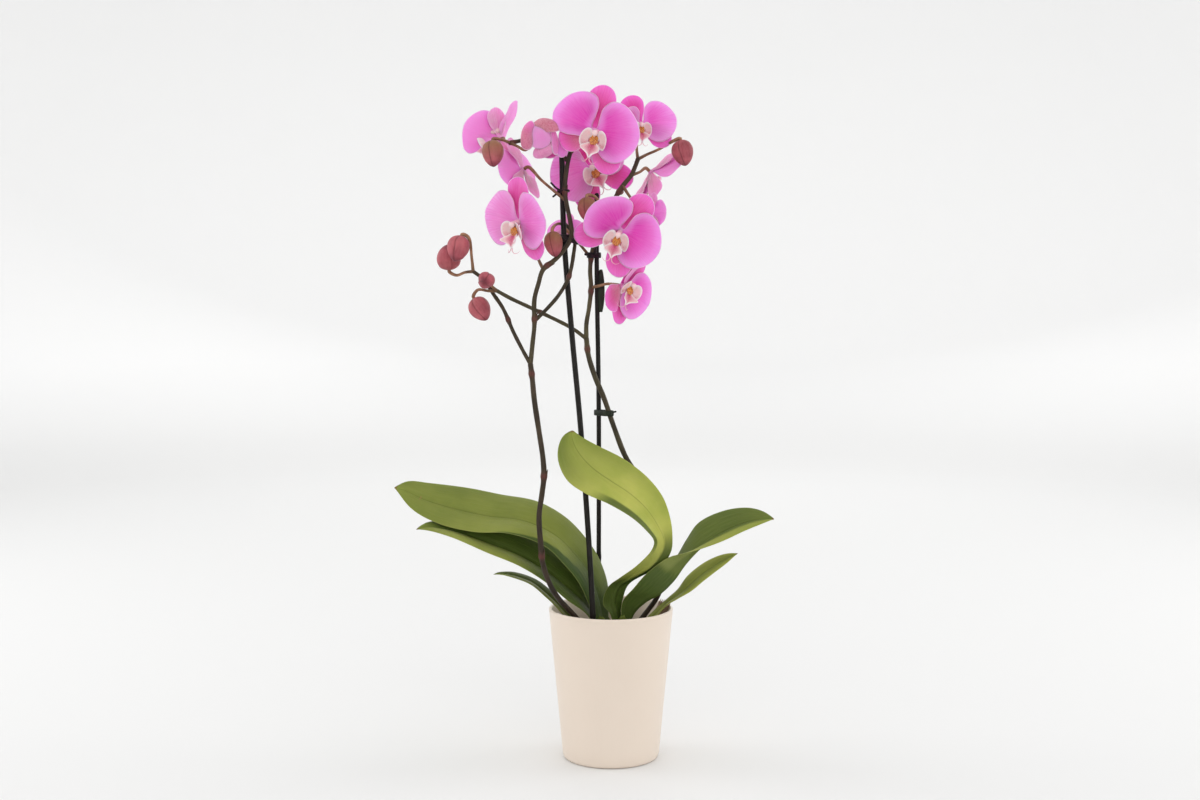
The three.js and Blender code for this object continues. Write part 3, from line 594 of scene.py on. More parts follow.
def lipSkin():
    # cream and pale pink with fine pink veins; magenta, yellow and spots come from the part's looks
    tones = lipTones
    paint = Paint(
        "lipSkin", Subsurface_Weight=0.4, Subsurface_Scale=0.002, Subsurface_Radius=(1.0, 0.5, 0.5),
        Roughness=0.42,
    )
    line = paint.veined(22.0)
    paint.body = paint.mix(paint.times(line, 0.45), *tones["body"])
    paint.lay("magenta", paint.mix(line, *tones["magenta"]))
    paint.lay("yellow", paint.mix(line, *tones["gold"]))
    rust = paint.times(paint.speckled(1000.0, 0.34), paint.look("spotted"))
    paint.lay(rust, tones["rust"])
    paint.lay(paint.spread(paint.look("rim"), 0.2, 2.4, 0.9, 0.0), tones["rim"])
    return paint.finish(line, 0.0003, 0.4)


budTones = {
    "patch": 60.0, "grain": 1000.0, "contrast": 1.2,
    "low": (0.260, 0.036, 0.056), "high": (0.520, 0.115, 0.140),
    "vein": (0.520, 0.170, 0.210), "brown": ((0.190, 0.085, 0.030), (0.330, 0.180, 0.075)),
    "tip": (0.150, 0.020, 0.035), "seam": (0.130, 0.025, 0.030),
}


def budSkin():
    # dusty rose with dark seams, a maroon tip that is partly its own deeper tone and partly
    # painted shade, and, on some buds, a brown-green shoulder
    paint = Paint(
        "budSkin", Subsurface_Weight=0.12, Subsurface_Scale=0.002, Subsurface_Radius=(1.0, 0.3, 0.3),
        Specular_IOR_Level=0.3,
    )
    paint.body, grain = paint.mottled(budTones)
    line = paint.veined(12.0)
    paint.lay(paint.times(line, 0.3), budTones["vein"])
    paint.lay("brown", paint.mix(grain, *budTones["brown"]))
    for name in ("tip", "seam"):
        paint.lay(name, budTones[name])
    paint.roughen(grain, 0.42, 0.58)
    return paint.finish(paint.maths("ADD", line, grain), 0.0003, 0.4)


# painted light: these dried sheath tones are lightened against the shade of the pot mouth
sheathTones = ((0.320, 0.175, 0.105), (0.720, 0.520, 0.390))  # between the fibres and along them


def sheathSkin():
    # dried brown leaf sheath with fibres along it, its tones lightened as painted light against the shade it
    # stands in
    paint = Paint("sheathSkin", Roughness=0.8)
    line = paint.veined(30.0)
    paint.body = paint.mix(line, *sheathTones)
    return paint.finish(line, 0.0005, 0.7)


potSkin, linerSkin, barkSkin, stakeSkin, clipSkin, greenClip, rootGreen = map(grainySkin, grainySkins)
leafGreen = leafSkin()
stemBrown = stemSkin()
petalPink = petalSkin()
lipPink = lipSkin()
budRose = budSkin()
sheathBrown = sheathSkin()
print("materials ready")


# The cover pot

potShape = {
    "height": 161, "rim": 66, "base": 51, "wall": 4, "floor": 6, "round": 4, "corner": 5, "around": 160,
    "foot": 10, "hollow": 1.2,  # it stands on a ring this wide, round a hollow this deep
}


def makePot():
    # a turned wall: outer radius = base + lean z, inner radius = outer less the wall
    s = potShape
    lean = (s["rim"] - s["base"]) / s["height"]
    outer = lambda z: s["base"] + lean * z
    half = s["wall"] / 2
    ring = s["base"] - s["foot"]
    profile = [[0, s["hollow"]], [ring - 2, s["hollow"]], [ring, 0]]
    profile += arc((s["base"] - s["round"], s["round"]), s["round"], -90, -5, 7)
    profile += [[outer(z), z] for z in np.linspace(s["round"] + 1, s["height"] - half, 16)]
    profile += arc((s["rim"] - half, s["height"] - half), half, 10, 170, 8)
    corner = (outer(s["floor"]) - s["wall"] - s["corner"], s["floor"] + s["corner"])
    profile += [[outer(z) - s["wall"], z] for z in np.linspace(s["height"] - half - 1, corner[1] + 1, 12)]
    profile += arc(corner, s["corner"], 0, -90, 6)
    profile += [[0, s["floor"]]]
    makePiece("cover_pot", [turned(profile, s["around"])], [potSkin], ["pot"])


makePot()
print("pot ready")


# The nursery pot, the bark and the crown

liner = {"top": 122, "rim": 57.3, "base": 43, "wall": 1, "lip": 2.4, "collar": 6, "around": 96}
linerFoot = potShape["floor"] + gap
linerFloor = linerFoot + liner["wall"]


def linerOutside(z):
    # its radius at a height: base + (rim - base) times the share of the height
    return liner["base"] + (liner["rim"] - liner["base"]) * (z - linerFoot) / (liner["top"] - linerFoot)


def linerInside(z):
    # the same from the floor up, less the wall and the lip
    low = liner["base"] - liner["wall"]
    return low + (liner["rim"] - liner["lip"] - low) * (z - linerFloor) / (liner["top"] - 4 - linerFloor)


def makeLiner():
    # the outer wall up to the collar, over its rim and down the inside
    top, rim, wall, collar = liner["top"], liner["rim"], liner["wall"], liner["collar"]
    profile = [[0, linerFoot], [linerOutside(linerFoot) - 1, linerFoot]]
    profile += [[linerOutside(z), z] for z in np.linspace(linerFoot + 1, top - collar - 0.2, 10)]
    profile += [[rim, top - collar], [rim, top - 0.4], [rim - 0.3, top]]
    profile += [[rim - wall + 0.2, top], [rim - wall, top - 0.4]]
    profile += [[linerInside(z), z] for z in np.linspace(top - 4, linerFloor + 0.5, 10)]
    profile += [[linerInside(linerFloor) - 1, linerFloor], [0, linerFloor]]
    makePiece("nursery_pot_shell", [turned(profile, liner["around"])], [linerSkin], ["nursery_pot"])


barkFill = {"top": 112, "chips": 230, "spread": 50, "long": 15, "wide": 9, "thick": 5, "seed": 7}
goldenAngle = 2.39996  # radians from each chip to the next


def barkChip(draw, size):
    # a bent oval, size[2] sqrt(1 - r^4) thick, with small lumps
    a, b, r = disc(5)
    sheet = np.stack([a * size[0] / 2, b * size[1] / 2, 0 * a], axis=-1)
    sheet[..., 2] = draw.uniform(-1.5, 1.5) * a**2 + draw.uniform(-0.8, 0.8) * b
    part = lens(sheet, size[2] / 2 * taper(r, 4))
    lumps = smoothNoise(part["points"], 7, int(draw.integers(1e6)))
    part["points"] += 0.6 * lumps[:, None] * unit(part["points"])
    return part


def makeBark():
    # a body that fills the liner, its top raised by noise, and chips strewn over it
    top = barkFill["top"]
    bottom = linerFloor + gap
    profile = [[0, bottom], [linerInside(bottom) - 2 * gap - 1, bottom]]
    profile += [[linerInside(z) - 2 * gap, z] for z in np.linspace(bottom + 1, top - 5, 14)]
    profile += [[r, top - 5] for r in np.linspace(linerInside(top - 5) - 3, 0, 14)]
    body = turned(profile, 72)
    lumps = 1.6 * smoothNoise(body["points"], 16, 3)
    upper = body["points"][:, 2] > top - 6
    body["points"][upper, 2] += lumps[upper]
    parts = [body]
    draw = np.random.default_rng(barkFill["seed"])
    for i in range(barkFill["chips"]):
        # sunflower spacing, each chip turned and tipped by a draw
        reach = barkFill["spread"] * math.sqrt((i + 0.5) / barkFill["chips"])
        angle = i * goldenAngle
        size = np.array([barkFill["long"], barkFill["wide"], barkFill["thick"]]) * draw.uniform(0.55, 1.15, 3)
        chip = barkChip(draw, size)
        turn = turnedAbout(np.eye(3), unit(draw.normal(size=3) * [1, 1, 0.2]), draw.uniform(-35, 35))
        turn = turn @ turnedAbout(np.eye(3), zAxis, draw.uniform(0, 360))
        height = top - 3.5 + draw.uniform(-1.5, 4.0)
        parts.append(moved(chip, turn, [reach * math.cos(angle), reach * math.sin(angle), height]))
    makePiece("bark_chips", parts, [barkSkin], ["bark"])


crown = {
    "x": 2, "y": -1, "bottom": 92, "top": 139, "radius": 10, "stretch": 1.6, "root": 2.6, "sheaths": 7,
    "seed": 11,
    # each clasp: direction in degrees, half its spread in radians, height and how it opens
    "clasps": [(-60, 0.9, 47, 0.30), (-125, 0.9, 46, 0.34), (120, 1.0, 44, 0.3), (55, 0.9, 42, 0.3)],
}
stub = {"points": [[18, 2, 124], [42, 6, 144], [54, 8, 156], [58, 8, 165]], "wide": 5.5}
roots = [
    [[5, -5, 104], [14, -18, 114], [20, -30, 118], [29, -36, 116], [39, -27, 108], [44, -16, 98]],
    [[-5, 4, 104], [-15, 14, 115], [-28, 20, 118], [-41, 17, 116], [-46, 2, 106], [-44, -10, 96]],
    [[7, 4, 104], [14, 17, 116], [19, 31, 119], [9, 43, 116], [-7, 45, 106], [-18, 41, 96]],
    [[-7, -4, 104], [-20, -10, 114], [-31, -21, 119], [-30, -34, 116], [-17, -43, 106], [-4, -45, 96]],
]


def sheathStrip(turn, wide, low, high, spread, draw, thick=0.6):
    # a strip round the crown: radius grows and the width shrinks towards its torn upper end
    c = crown
    u, v = strip(26, 17)
    a = turn + v * wide * (1 - 0.7 * u**2.5)
    r = c["radius"] * (1.04 + spread * u**2 + 0.03 * draw.uniform(-1, 1))
    z = low + high * u * (1 - 0.12 * v**2) + 0.8 * np.sin(9 * v + turn) * u
    sheet = np.stack([r * np.cos(a) * c["stretch"] + c["x"], r * np.sin(a) + c["y"], z], axis=-1)
    half = thick / 2 * taper(v, 6) * taper(2 * u - 1, 8)
    # deep darkens the green clasps towards their foot as painted shade in the pot mouth; the dried sheaths'
    # skin does not read it
    return lens(sheet, half, fan=v, across=0.1 + 0.8 * v, reach=high * u, deep=0.9 - 0.35 * u)


def frayedStub(points, wide):
    # a dried leaf base: line + other v flare, frayed by sines of v that grow with u^3 and u^6
    u, v = strip(50, 41)
    line = lineAt(points, u[:, 0])
    way, side, other = pathSides(line)
    flare = wide * (0.7 + 0.5 * u)
    sheet = line[:, None] + other[:, None] * (v * flare)[..., None]
    fray = (0.9 * np.sin(31 * v) + 0.7 * np.sin(53 * v + 1)) * u**3
    sheet = sheet + side[:, None] * (1.3 * np.sin(7 * v) * u + fray)[..., None]
    sheet = sheet + way[:, None] * (2.2 * np.sin(23 * v + 2) * u**6)[..., None]
    return lens(sheet, 0.4 * taper(v, 8) * taper(2 * u - 1, 8), fan=v, reach=30 * u)


def makeCrown():
    # a turned, stretched body with roots, dried sheaths, green clasps and a frayed leaf base
    c = crown
    shape = [[0.2, 0], [0.6, 0], [1.0, 0.25], [1.05, 0.5], [0.98, 0.72], [0.8, 0.88], [0.4, 0.98], [0.05, 1]]
    profile = lineAt(shape, np.linspace(0, 1, 40)) * [c["radius"], c["top"] - c["bottom"]] + [0, c["bottom"]]
    # deep 1 gives the whole body the skin's darkest green: painted shade in the pot mouth
    body = turned(profile, 64, deep=1.0, across=0.5, reach=20.0)
    p = body["points"]
    angle = np.arctan2(p[:, 1], p[:, 0])
    # clasping leaf bases: ridges that climb to one side and the other by turns
    ridge = 0.7 * np.abs(np.sin((p[:, 2] + 6 * np.cos(angle)) / 7))
    body["points"] = p * np.stack([1 + ridge / 12, 1 + ridge / 12, 1 + 0 * ridge], axis=-1)
    body["points"] = body["points"] * [c["stretch"], 1, 1] + [c["x"], c["y"], 0]
    parts = [body]
    for points in roots:
        fat = lambda s: c["root"] * (1 + 0.12 * np.sin(17 * s) + 0.06 * np.sin(41 * s + 1))
        parts.append({**tube(points, fat, 14, 1.5), "material": 1})
    draw = np.random.default_rng(c["seed"])
    for i in range(c["sheaths"]):
        # dried sheaths: torn strips that stand round the crown
        turn = i * 2 * math.pi / c["sheaths"] + draw.uniform(-0.3, 0.3)
        parts.append({**sheathStrip(turn, 0.5, 112, draw.uniform(16, 34), 0.12, draw), "material": 2})
    for turn, wide, high, spread in c["clasps"]:
        # green leaf bases that clasp the crown and open upwards
        parts.append(sheathStrip(math.radians(turn), wide, 108, high, spread, draw, 2.2))
    parts.append({**frayedStub(stub["points"], stub["wide"]), "material": 2})
    makePiece("crown_and_roots", parts, [leafGreen, rootGreen, sheathBrown], ["crown"])


makeLiner()
makeBark()
makeCrown()
print("bark and crown ready")


# Leaves: each has a near edge, a far edge and a rib, all from the crown to the tip. top says
# which face of the blade is its upper one. The yellow-green look says how far a yellow-green is laid
# as painted light where a blade is lit or light shines through it, deep says how far a dark green is
# laid as painted shade where shade falls on it, and a lit blade is as bright below as above.

leafThick = 1.6
leaves = {
    "leaf_1": {
        "near": [
            [-8, -9, 133], [-31, -16, 190], [-47, -21, 211], [-69, -27, 232], [-106, -30, 245],
            [-143, -26, 246], [-179, -20, 253], [-209, -10, 267], [-230, 4, 289],
        ],
        "far": [
            [-4, 6, 135], [-5, 13, 177], [-12, 17, 202], [-22, 19, 221], [-47, 22, 251], [-79, 26, 270],
            [-119, 28, 278], [-153, 28, 285], [-194, 23, 291], [-216, 15, 294], [-230, 4, 289],
        ],
        "sag": [0, 0, -4], "top": -1, "foot": (0.32, 0.34),
        # painted light: a faint yellow-green on the near side of the outer half
        "young": lambda u, a: 0.04 * rampUp(-a, 0.0, 0.3) * rampUp(u, 0.45, 0.7),
        # painted shade: a dark band along the shaded near edge, widest at the foot
        "deep": lambda u, a: (
            0.95 * rampUp(-a - 0.48 * rampUp(u, 0.12, 0.6), 0.46, 0.52) * rampUp(0.6 - u, 0, 0.05)
            + 0.92 * rampUp(0.36 - u, 0, 0.16) * (1 - 0.6 * rampUp(a, -0.1, 0.6) * rampUp(u, 0.08, 0.2))
            + 0.2 * rampUp(a, 0.1, 0.8) * rampUp(u, 0.4, 0.8)
        ),
    },
    "leaf_2": {
        "near": [
            [-10, -8, 126], [-25, -14, 157], [-46, -22, 175], [-68, -30, 194], [-96, -36, 212],
            [-129, -38, 226], [-165, -34, 241], [-189, -27, 247], [-205, -20, 248],
        ],
        "far": [
            [-10, 5, 127], [-29, 10, 176], [-54, 14, 202], [-97, 14, 230], [-145, 8, 247],
            [-175, -4, 254], [-193, -12, 254], [-205, -20, 248],
        ],
        "sag": [0, 0, -3], "top": -1, "foot": (0.45, 0.3), "lift": 13,
        # painted light: a lighter strip along the near side
        "young": lambda u, a: 0.12 * rampUp(-a, 0.1, 0.4) + 0 * u,
        # painted shade: the far half lies in leaf_1's shade, and the near half is dark up to its middle
        "deep": lambda u, a: (
            0.8 * rampUp(a, -0.25, 0.0) * rampUp(0.97 - u, 0, 0.1)
            + 0.85 * rampUp(0.62 - u, 0, 0.25) * (1 - rampUp(a, -0.25, 0.0))
        ),
    },
    "leaf_3": {
        "near": [
            [-12, -6, 118], [-48, -8, 151], [-60, -10, 165], [-70, -12, 175], [-85, -14, 188],
            [-107, -12, 196], [-118, -9, 198], [-125, -6, 198],
        ],
        "far": [
            [-12, 5, 119], [-44, 6, 156], [-56, 8, 169], [-67, 8, 180], [-81, 8, 190], [-103, 4, 198],
            [-118, -2, 199], [-125, -6, 198],
        ],
        # painted light: yellow-green along the lit near side
        "sag": [0, 0, -2], "top": -1, "young": lambda u, a: 0.3 * rampUp(-a, 0.1, 0.5),
        # painted shade: darker on the far half than on the near half
        "deep": lambda u, a: 0.55 - 0.4 * rampUp(-a, 0.0, 0.4) + 0 * u,
    },
    "leaf_4": {
        "near": [
            [8, -9, 134], [0, -14, 158], [-7, -17, 167], [-7, -19, 177], [-2, -21, 188], [9, -25, 197],
            [27, -34, 212], [42, -43, 230], [44, -47, 240], [35, -50, 252], [21, -54, 265],
            [-3, -59, 280], [-26, -63, 291], [-45, -65, 305], [-54, -64, 324], [-54, -61, 339],
            [-49, -59, 350], [-40, -57, 356],
        ],
        "far": [
            [14, -2, 136], [9, -4, 156], [12, -5, 172], [19, -7, 187], [37, -12, 199], [53, -19, 208],
            [63, -26, 226], [64, -29, 241], [62, -31, 259], [54, -33, 283], [38, -35, 304],
            [13, -39, 324], [-15, -45, 339], [-30, -51, 348], [-40, -57, 356],
        ],
        "sag": [0, 5, -2], "top": 1, "foot": (0.75, 0.09), "lit": 1,
        # painted light: yellow-green where light shines through the middle of the blade
        "young": lambda u, a: 0.3 + 0.65 * rampUp(u, 0.3, 0.5) * rampUp(0.95 - u, 0, 0.35),
        # painted shade: dark at the foot, along a strip of the near edge, and outside the bend
        "deep": lambda u, a: (
            0.9 * rampUp(0.28 - u, 0, 0.08)
            + 0.85 * rampUp(-a, 0.6, 0.68) * rampUp(u, 0.36, 0.44) * rampUp(0.74 - u, 0, 0.1)
            + 0.42 * rampUp(-a, 0.0, 0.9) * rampUp(u, 0.7, 0.9)
            + 0.2 * rampUp(a, 0.3, 1) * rampUp(u, 0.45, 0.6)
            + 0.85 * rampUp(a, -0.15, 0.3) * rampUp(0.5 - u, 0, 0.12) * rampUp(u, 0.18, 0.24)
        ),
    },
    "leaf_5": {
        "near": [
            [16, -9, 128], [11, -12, 163], [14, -14, 173], [23, -18, 184], [37, -22, 201],
            [60, -27, 219], [77, -30, 224], [94, -32, 229], [116, -32, 237], [138, -30, 247],
            [158, -23, 254], [172, -14, 258],
        ],
        "rib": [
            [18, 0, 124], [22, -4, 153], [36, -8, 169], [51, -10, 178], [65, -12, 192], [79, -14, 212],
            [98, -15, 231], [123, -16, 247], [151, -15, 257], [172, -14, 258],
        ],
        "far": [
            [16, 6, 128], [25, 8, 161], [36, 9, 171], [48, 9, 183], [61, 8, 199], [72, 6, 218],
            [81, 5, 234], [93, 4, 251], [119, 2, 264], [144, -2, 268], [160, -7, 265], [172, -14, 258],
        ],
        "top": 1,
        # painted light: yellow-green on the lit near side past the twist
        "young": lambda u, a: 0.42 * rampUp(-a, 0.35, 0.6) * rampUp(u, 0.5, 0.62),
        # painted shade: the shaded base up to the twist, and the blade past it except its lit near side
        "deep": lambda u, a: (
            0.92 * rampUp(0.46 - u, 0, 0.06)
            + 0.62 * rampUp(u, 0.4, 0.46) * (1 - rampUp(-a, 0.3, 0.5)) * (1 - 0.4 * rampUp(u, 0.75, 1))
        ),
    },
    "leaf_6": {
        "near": [
            [18, -5, 121], [44, -6, 146], [58, -6, 163], [70, -8, 171], [85, -9, 180], [97, -9, 190],
            [109, -7, 199], [123, -3, 209], [135, 2, 219],
        ],
        "far": [
            [18, 4, 122], [40, 6, 150], [55, 8, 164], [63, 9, 171], [71, 10, 178], [82, 10, 193],
            [99, 9, 207], [114, 6, 215], [124, 4, 218], [135, 2, 219],
        ],
        # painted light: a paler yellow-green towards both edges
        "sag": [0, 0, -2], "top": 1, "young": lambda u, a: 0.2 + 0.25 * rampUp(np.abs(a), 0.3, 0.8),
        # painted shade: darker down the middle and towards the foot
        "deep": lambda u, a: 0.2 * (1 - np.abs(a)) + 0.4 * rampUp(0.35 - u, 0, 0.3),
    },
}


def makeLeaf(name, data):
    # across from the rib to an edge: rib + (edge - rib) h + bulge 4 h (1 - h) along the normal;
    # the foot widens the blade near its base, and the lift raises its far edge
    u = np.linspace(0, 0.997, 130)
    across = np.sin(np.linspace(-math.pi / 2, math.pi / 2, 31))
    near, far = lineAt(data["near"], u), lineAt(data["far"], u)
    if "rib" in data:
        rib = lineAt(data["rib"], u)
    else:
        rib = (near + far) / 2 + np.array(data["sag"]) * np.sin(math.pi * u)[:, None]
    grow, fade = data.get("foot", (0.2, 0.1))
    foot = 1 + grow * np.exp(-((u / fade) ** 2))[:, None]
    near, far = rib + (near - rib) * foot, rib + (far - rib) * foot
    far = far + zAxis * (data.get("lift", 0) * rampUp(u, 0.1, 0.3) * rampUp(0.92 - u, 0, 0.25))[:, None]
    h = np.abs(across)[None, :, None]
    edge = np.where(across[None, :, None] < 0, near[:, None], far[:, None])
    flat = rib[:, None] + (edge - rib[:, None]) * h
    way = unit(np.gradient(rib, axis=0))
    normal = unit(np.cross(way, far - near)) * data["top"]
    wide = np.linalg.norm(far - near, axis=-1)[:, None, None]
    bulge = 0.035 * wide * 4 * h * (1 - h) * np.sin(math.pi * u)[:, None, None] ** 0.5
    groove = -0.8 * np.exp(-((h * wide / 2 / 1.6) ** 2))
    middle = flat + normal[:, None] * (bulge + groove)
    ends = np.minimum(1, 12 * (1 - u))[:, None] ** 0.5
    keel = 0.9 * np.exp(-((h[..., 0] * wide[..., 0] / 2 / 2.2) ** 2)) * (1 - u[:, None])
    half = leafThick / 2 * taper(across, 6)[None] * ends * (0.75 + keel)
    along, side = u[:, None] + 0 * half, across[None] + 0 * half
    # the looks carry the painted shade (deep) and the painted light (the yellow-green share) into the skin
    part = lens(
        middle, half, across=side, reach=lengthOf(data["near"]) * along, tip=rampUp(along, 0.982, 0.994),
        deep=np.clip(data["deep"](along, side), 0, 1), young=data["young"](along, side),
    )
    back = part["looks"].pop("back")
    part["looks"]["under"] = (back if data["top"] == 1 else 1 - back) * (1 - data.get("lit", 0))
    makePiece(name + "_blade", [part], [leafGreen], [name])


for leafName, leafData in leaves.items():
    makeLeaf(leafName, leafData)
print("leaves ready")


# Blooms. In a bloom's own frame x is its viewer's right, y is up and z faces the viewer. Turns
# are in degrees: yaw about +Z from -Y, pitch upwards, roll anticlockwise. The cup folds the
# tepals forwards, and a petal that stands oddly has turns of its own.

seatFront = 1.7  # where the lip sits on a bloom's heart
seatBack = -2.9  # where the flower stalk meets it
tepalThick = 0.7
petalForm = {"length": 46, "half": 30, "tilt": 7, "base": 0.4}
dorsalForm = {"length": 46, "half": 15, "tilt": 90, "base": -1.4}
lateralForm = {"length": 46, "half": 14, "below": 50, "base": -1.4}
arch = {"rise": 8, "bend": -0.28, "wave": 0.9}  # slope at the heart, its change per mm, and the rim's wave
sepalBack = 5  # sepals lean this much further back than petals

# outlines as shares of the length and the half width, from the claw round to the claw
petalOutline = [
    [0.00, 0.03], [0.07, 0.12], [0.10, 0.42], [0.15, 0.76], [0.34, 1.00], [0.62, 0.93], [0.87, 0.57],
    [1.00, 0.15], [1.00, -0.20], [0.93, -0.51], [0.78, -0.79], [0.60, -0.95], [0.42, -0.96],
    [0.26, -0.84], [0.13, -0.58], [0.09, -0.28], [0.06, -0.10], [0.00, -0.03],
]
wideOutline = [
    [0.00, 0.03], [0.07, 0.14], [0.07, 0.48], [0.08, 0.84], [0.20, 1.08], [0.48, 1.10], [0.78, 0.86],
    [0.96, 0.46], [1.02, 0.05], [0.96, -0.36], [0.82, -0.70], [0.60, -0.92], [0.40, -0.90],
    [0.22, -0.72], [0.12, -0.42], [0.07, -0.14], [0.00, -0.03],
]
trimOutline = [
    *wideOutline[:9], [0.93, -0.24], [0.76, -0.40], [0.56, -0.42], [0.38, -0.36], [0.22, -0.30],
    [0.12, -0.22], *wideOutline[-2:],
]
cutOutline = [
    *petalOutline[:9], [0.95, -0.51], [0.86, -0.80], [0.70, -0.90], [0.52, -0.76], [0.38, -0.45],
    [0.25, -0.20], [0.10, -0.10], [0.00, -0.03],
]
sepalOutline = [
    [0.00, 0.14], [0.18, 0.42], [0.40, 0.80], [0.62, 1.00], [0.82, 0.86], [0.95, 0.50], [1.00, 0.00],
    [0.95, -0.50], [0.82, -0.86], [0.62, -1.00], [0.40, -0.80], [0.18, -0.42], [0.00, -0.14],
]

blooms = {
    "bloom_1": {
        "at": [-116.5, 19, 655.5], "yaw": -150, "pitch": -4, "roll": 0, "cup": 8, "size": 0.9,
        "left": {"length": 57, "half": 20, "tilt": 57, "fold": 4, "twist": 50},
        "right": {"tilt": 16, "outline": cutOutline},
        "dorsal": {"length": 38, "half": 12, "tilt": 84, "pale": 0.5},
        "lateral": {"length": 25, "half": 9},
        "lip": {"at": [-127, 20, 662], "yaw": -100, "pitch": -16, "neck": -12},
    },
    "bloom_2": {"at": [-92, 1, 623], "yaw": -118, "pitch": -20, "roll": 0, "cup": 10, "size": 0.8},
    "bloom_3": {
        "at": [-94, -35, 568], "yaw": -40, "pitch": -8, "roll": -6, "cup": 6,
        "left": {"length": 42, "pale": 0.45},
        "right": {"length": 41, "pale": 0.2},
        "lateralLeft": {"length": 33, "half": 11, "below": 34},
    },
    "bloom_4": {
        "at": [-18, -45, 659], "yaw": -10, "pitch": 0, "roll": -15, "cup": 2, "size": 1.04,
        "left": {"outline": trimOutline, "length": 43},
        "lateralLeft": {"length": 36, "below": 30, "dusty": 1},
        "lip": {"at": [-14, -45, 658]},
    },
    "bloom_5": {
        "at": [31, 12, 671], "yaw": 8, "pitch": 0, "roll": 0, "cup": 2, "size": 0.76,
        "left": {"length": 30, "half": 22, "pale": 0.3},
        "right": {"length": 50, "half": 29, "pale": 0.15},
        "dorsal": {"length": 42, "half": 18, "tilt": 118},
        "lateral": {"below": 32, "length": 50, "half": 15},
        "lateralLeft": {"below": 50},
    },
    "bloom_6": {
        "at": [42, 30, 622], "yaw": 118, "pitch": -35, "roll": 0, "cup": 23, "size": 0.78,
        "left": {"tilt": 66, "pale": 0.35},
        "right": {"tilt": -25},
    },
    "bloom_7": {
        "at": [-20, 22, 627], "yaw": -4, "pitch": 0, "roll": 30, "cup": 3,
        # painted light: paler petals lift the shade that bloom_4 casts on this bloom
        "left": {"pale": 0.5},
        "right": {"length": 38, "half": 22, "pale": 0.4},
    },
    "bloom_8": {
        "at": [9, -40, 559], "yaw": -8, "pitch": -6, "roll": -43, "cup": 3,
        "left": {"length": 40, "half": 29, "fold": 21, "tilt": 8},
        "right": {"tilt": 12},
        "lateral": {"length": 49},
        "lip": {"at": [9, -40, 557], "roll": -18},
    },
    "bloom_9": {"at": [-48, 26, 564], "yaw": 172, "pitch": -35, "roll": 0, "cup": 20, "size": 0.5},
    "bloom_10": {
        "at": [11, -14, 502], "yaw": 42, "pitch": -8, "roll": -40, "cup": 8, "size": 0.88,
        "left": {"length": 40, "half": 20, "tilt": 70, "fold": 10, "twist": 38, "pale": 0.6},
        "lateralLeft": {"length": 40, "half": 17, "fold": 14, "below": 72},
        "lip": {"at": [19, -16, 505], "yaw": 30, "roll": -25},
    },
    "bloom_11": {"at": [40, -2, 577], "yaw": 125, "pitch": -10, "roll": 0, "cup": 10, "size": 0.5},
}
halfOpen = {"at": [-83, -28, 645], "yaw": 60, "pitch": 28, "roll": 10, "size": 1.02}


def bloomTurn(bloom):
    # columns: the bloom's right, up and facing directions, turned by the roll and sized
    a, b = math.radians(bloom["yaw"]), math.radians(bloom["pitch"])
    facing = np.array([math.sin(a) * math.cos(b), -math.cos(a) * math.cos(b), math.sin(b)])
    right = np.array([math.cos(a), math.sin(a), 0])
    turn = np.stack([right, np.cross(facing, right), facing], axis=1)
    roll = turnedAbout(np.eye(3), zAxis, bloom["roll"]).T
    return turn @ roll * bloom.get("size", 1)


def tepal(form, seed, outline, sepal, side=1):
    # the disc is stretched to the outline about its middle, given waves and a groove, turned by
    # twist, fold and tilt, then bent away from the heart's plane along its reach; side -1 gives
    # the mirror image
    a, b, r = disc(33)
    share = (np.arctan2(b, a) / (2 * math.pi) + 0.5) % 1
    edge = lineAt(np.array(outline) * [form["length"], form["half"]], 1 - share, closed=True)
    centre = np.array([0.52 * form["length"], 0])
    flat = centre + (edge - centre) * r[..., None]
    x, y = flat[..., 0], flat[..., 1]
    fan = np.arctan2(y, x + 6)
    reach = np.hypot(x, y)
    rim = (1 - r) * np.linalg.norm(edge - centre, axis=-1)
    draw = np.random.default_rng(seed)
    phase = draw.uniform(0, 6.28, 3)
    turn = share * 2 * math.pi
    wave = np.sin(3 * turn + phase[0]) + 0.5 * np.sin(5 * turn + phase[1])
    groove = 0.5 * np.exp(-((y / 1.3) ** 2)) * np.clip(reach / 8, 0, 1)
    z = arch["wave"] * wave * r**3 - groove
    point = np.stack([x, y * side, z], axis=-1)
    point = turnedAbout(point, xAxis, form.get("twist", 0))
    point = turnedAbout(point, yAxis, -form.get("fold", 0))
    point = turnedAbout(point, zAxis, form["tilt"])
    lean = math.radians(arch["rise"] + form["cup"])
    bow = math.radians(arch["bend"])
    end = lean + bow * reach
    drawn = (np.sin(end) - math.sin(lean)) / (bow * np.maximum(reach, 1e-6))
    rise = (math.cos(lean) - np.cos(end)) / bow
    point = point * np.stack([drawn, drawn, 1 + 0 * drawn], axis=-1)
    point[..., 2] += form["base"] + rise
    half = tepalThick / 2 * taper(r, 8) * np.clip(0.5 + reach / 30, 0, 1)
    return lens(
        point[:, ::side], half[:, ::side], fan=fan[:, ::side], reach=reach[:, ::side],
        rim=rim[:, ::side], sepal=sepal, dusty=form.get("dusty", 0), pale=form.get("pale", 0),
    )


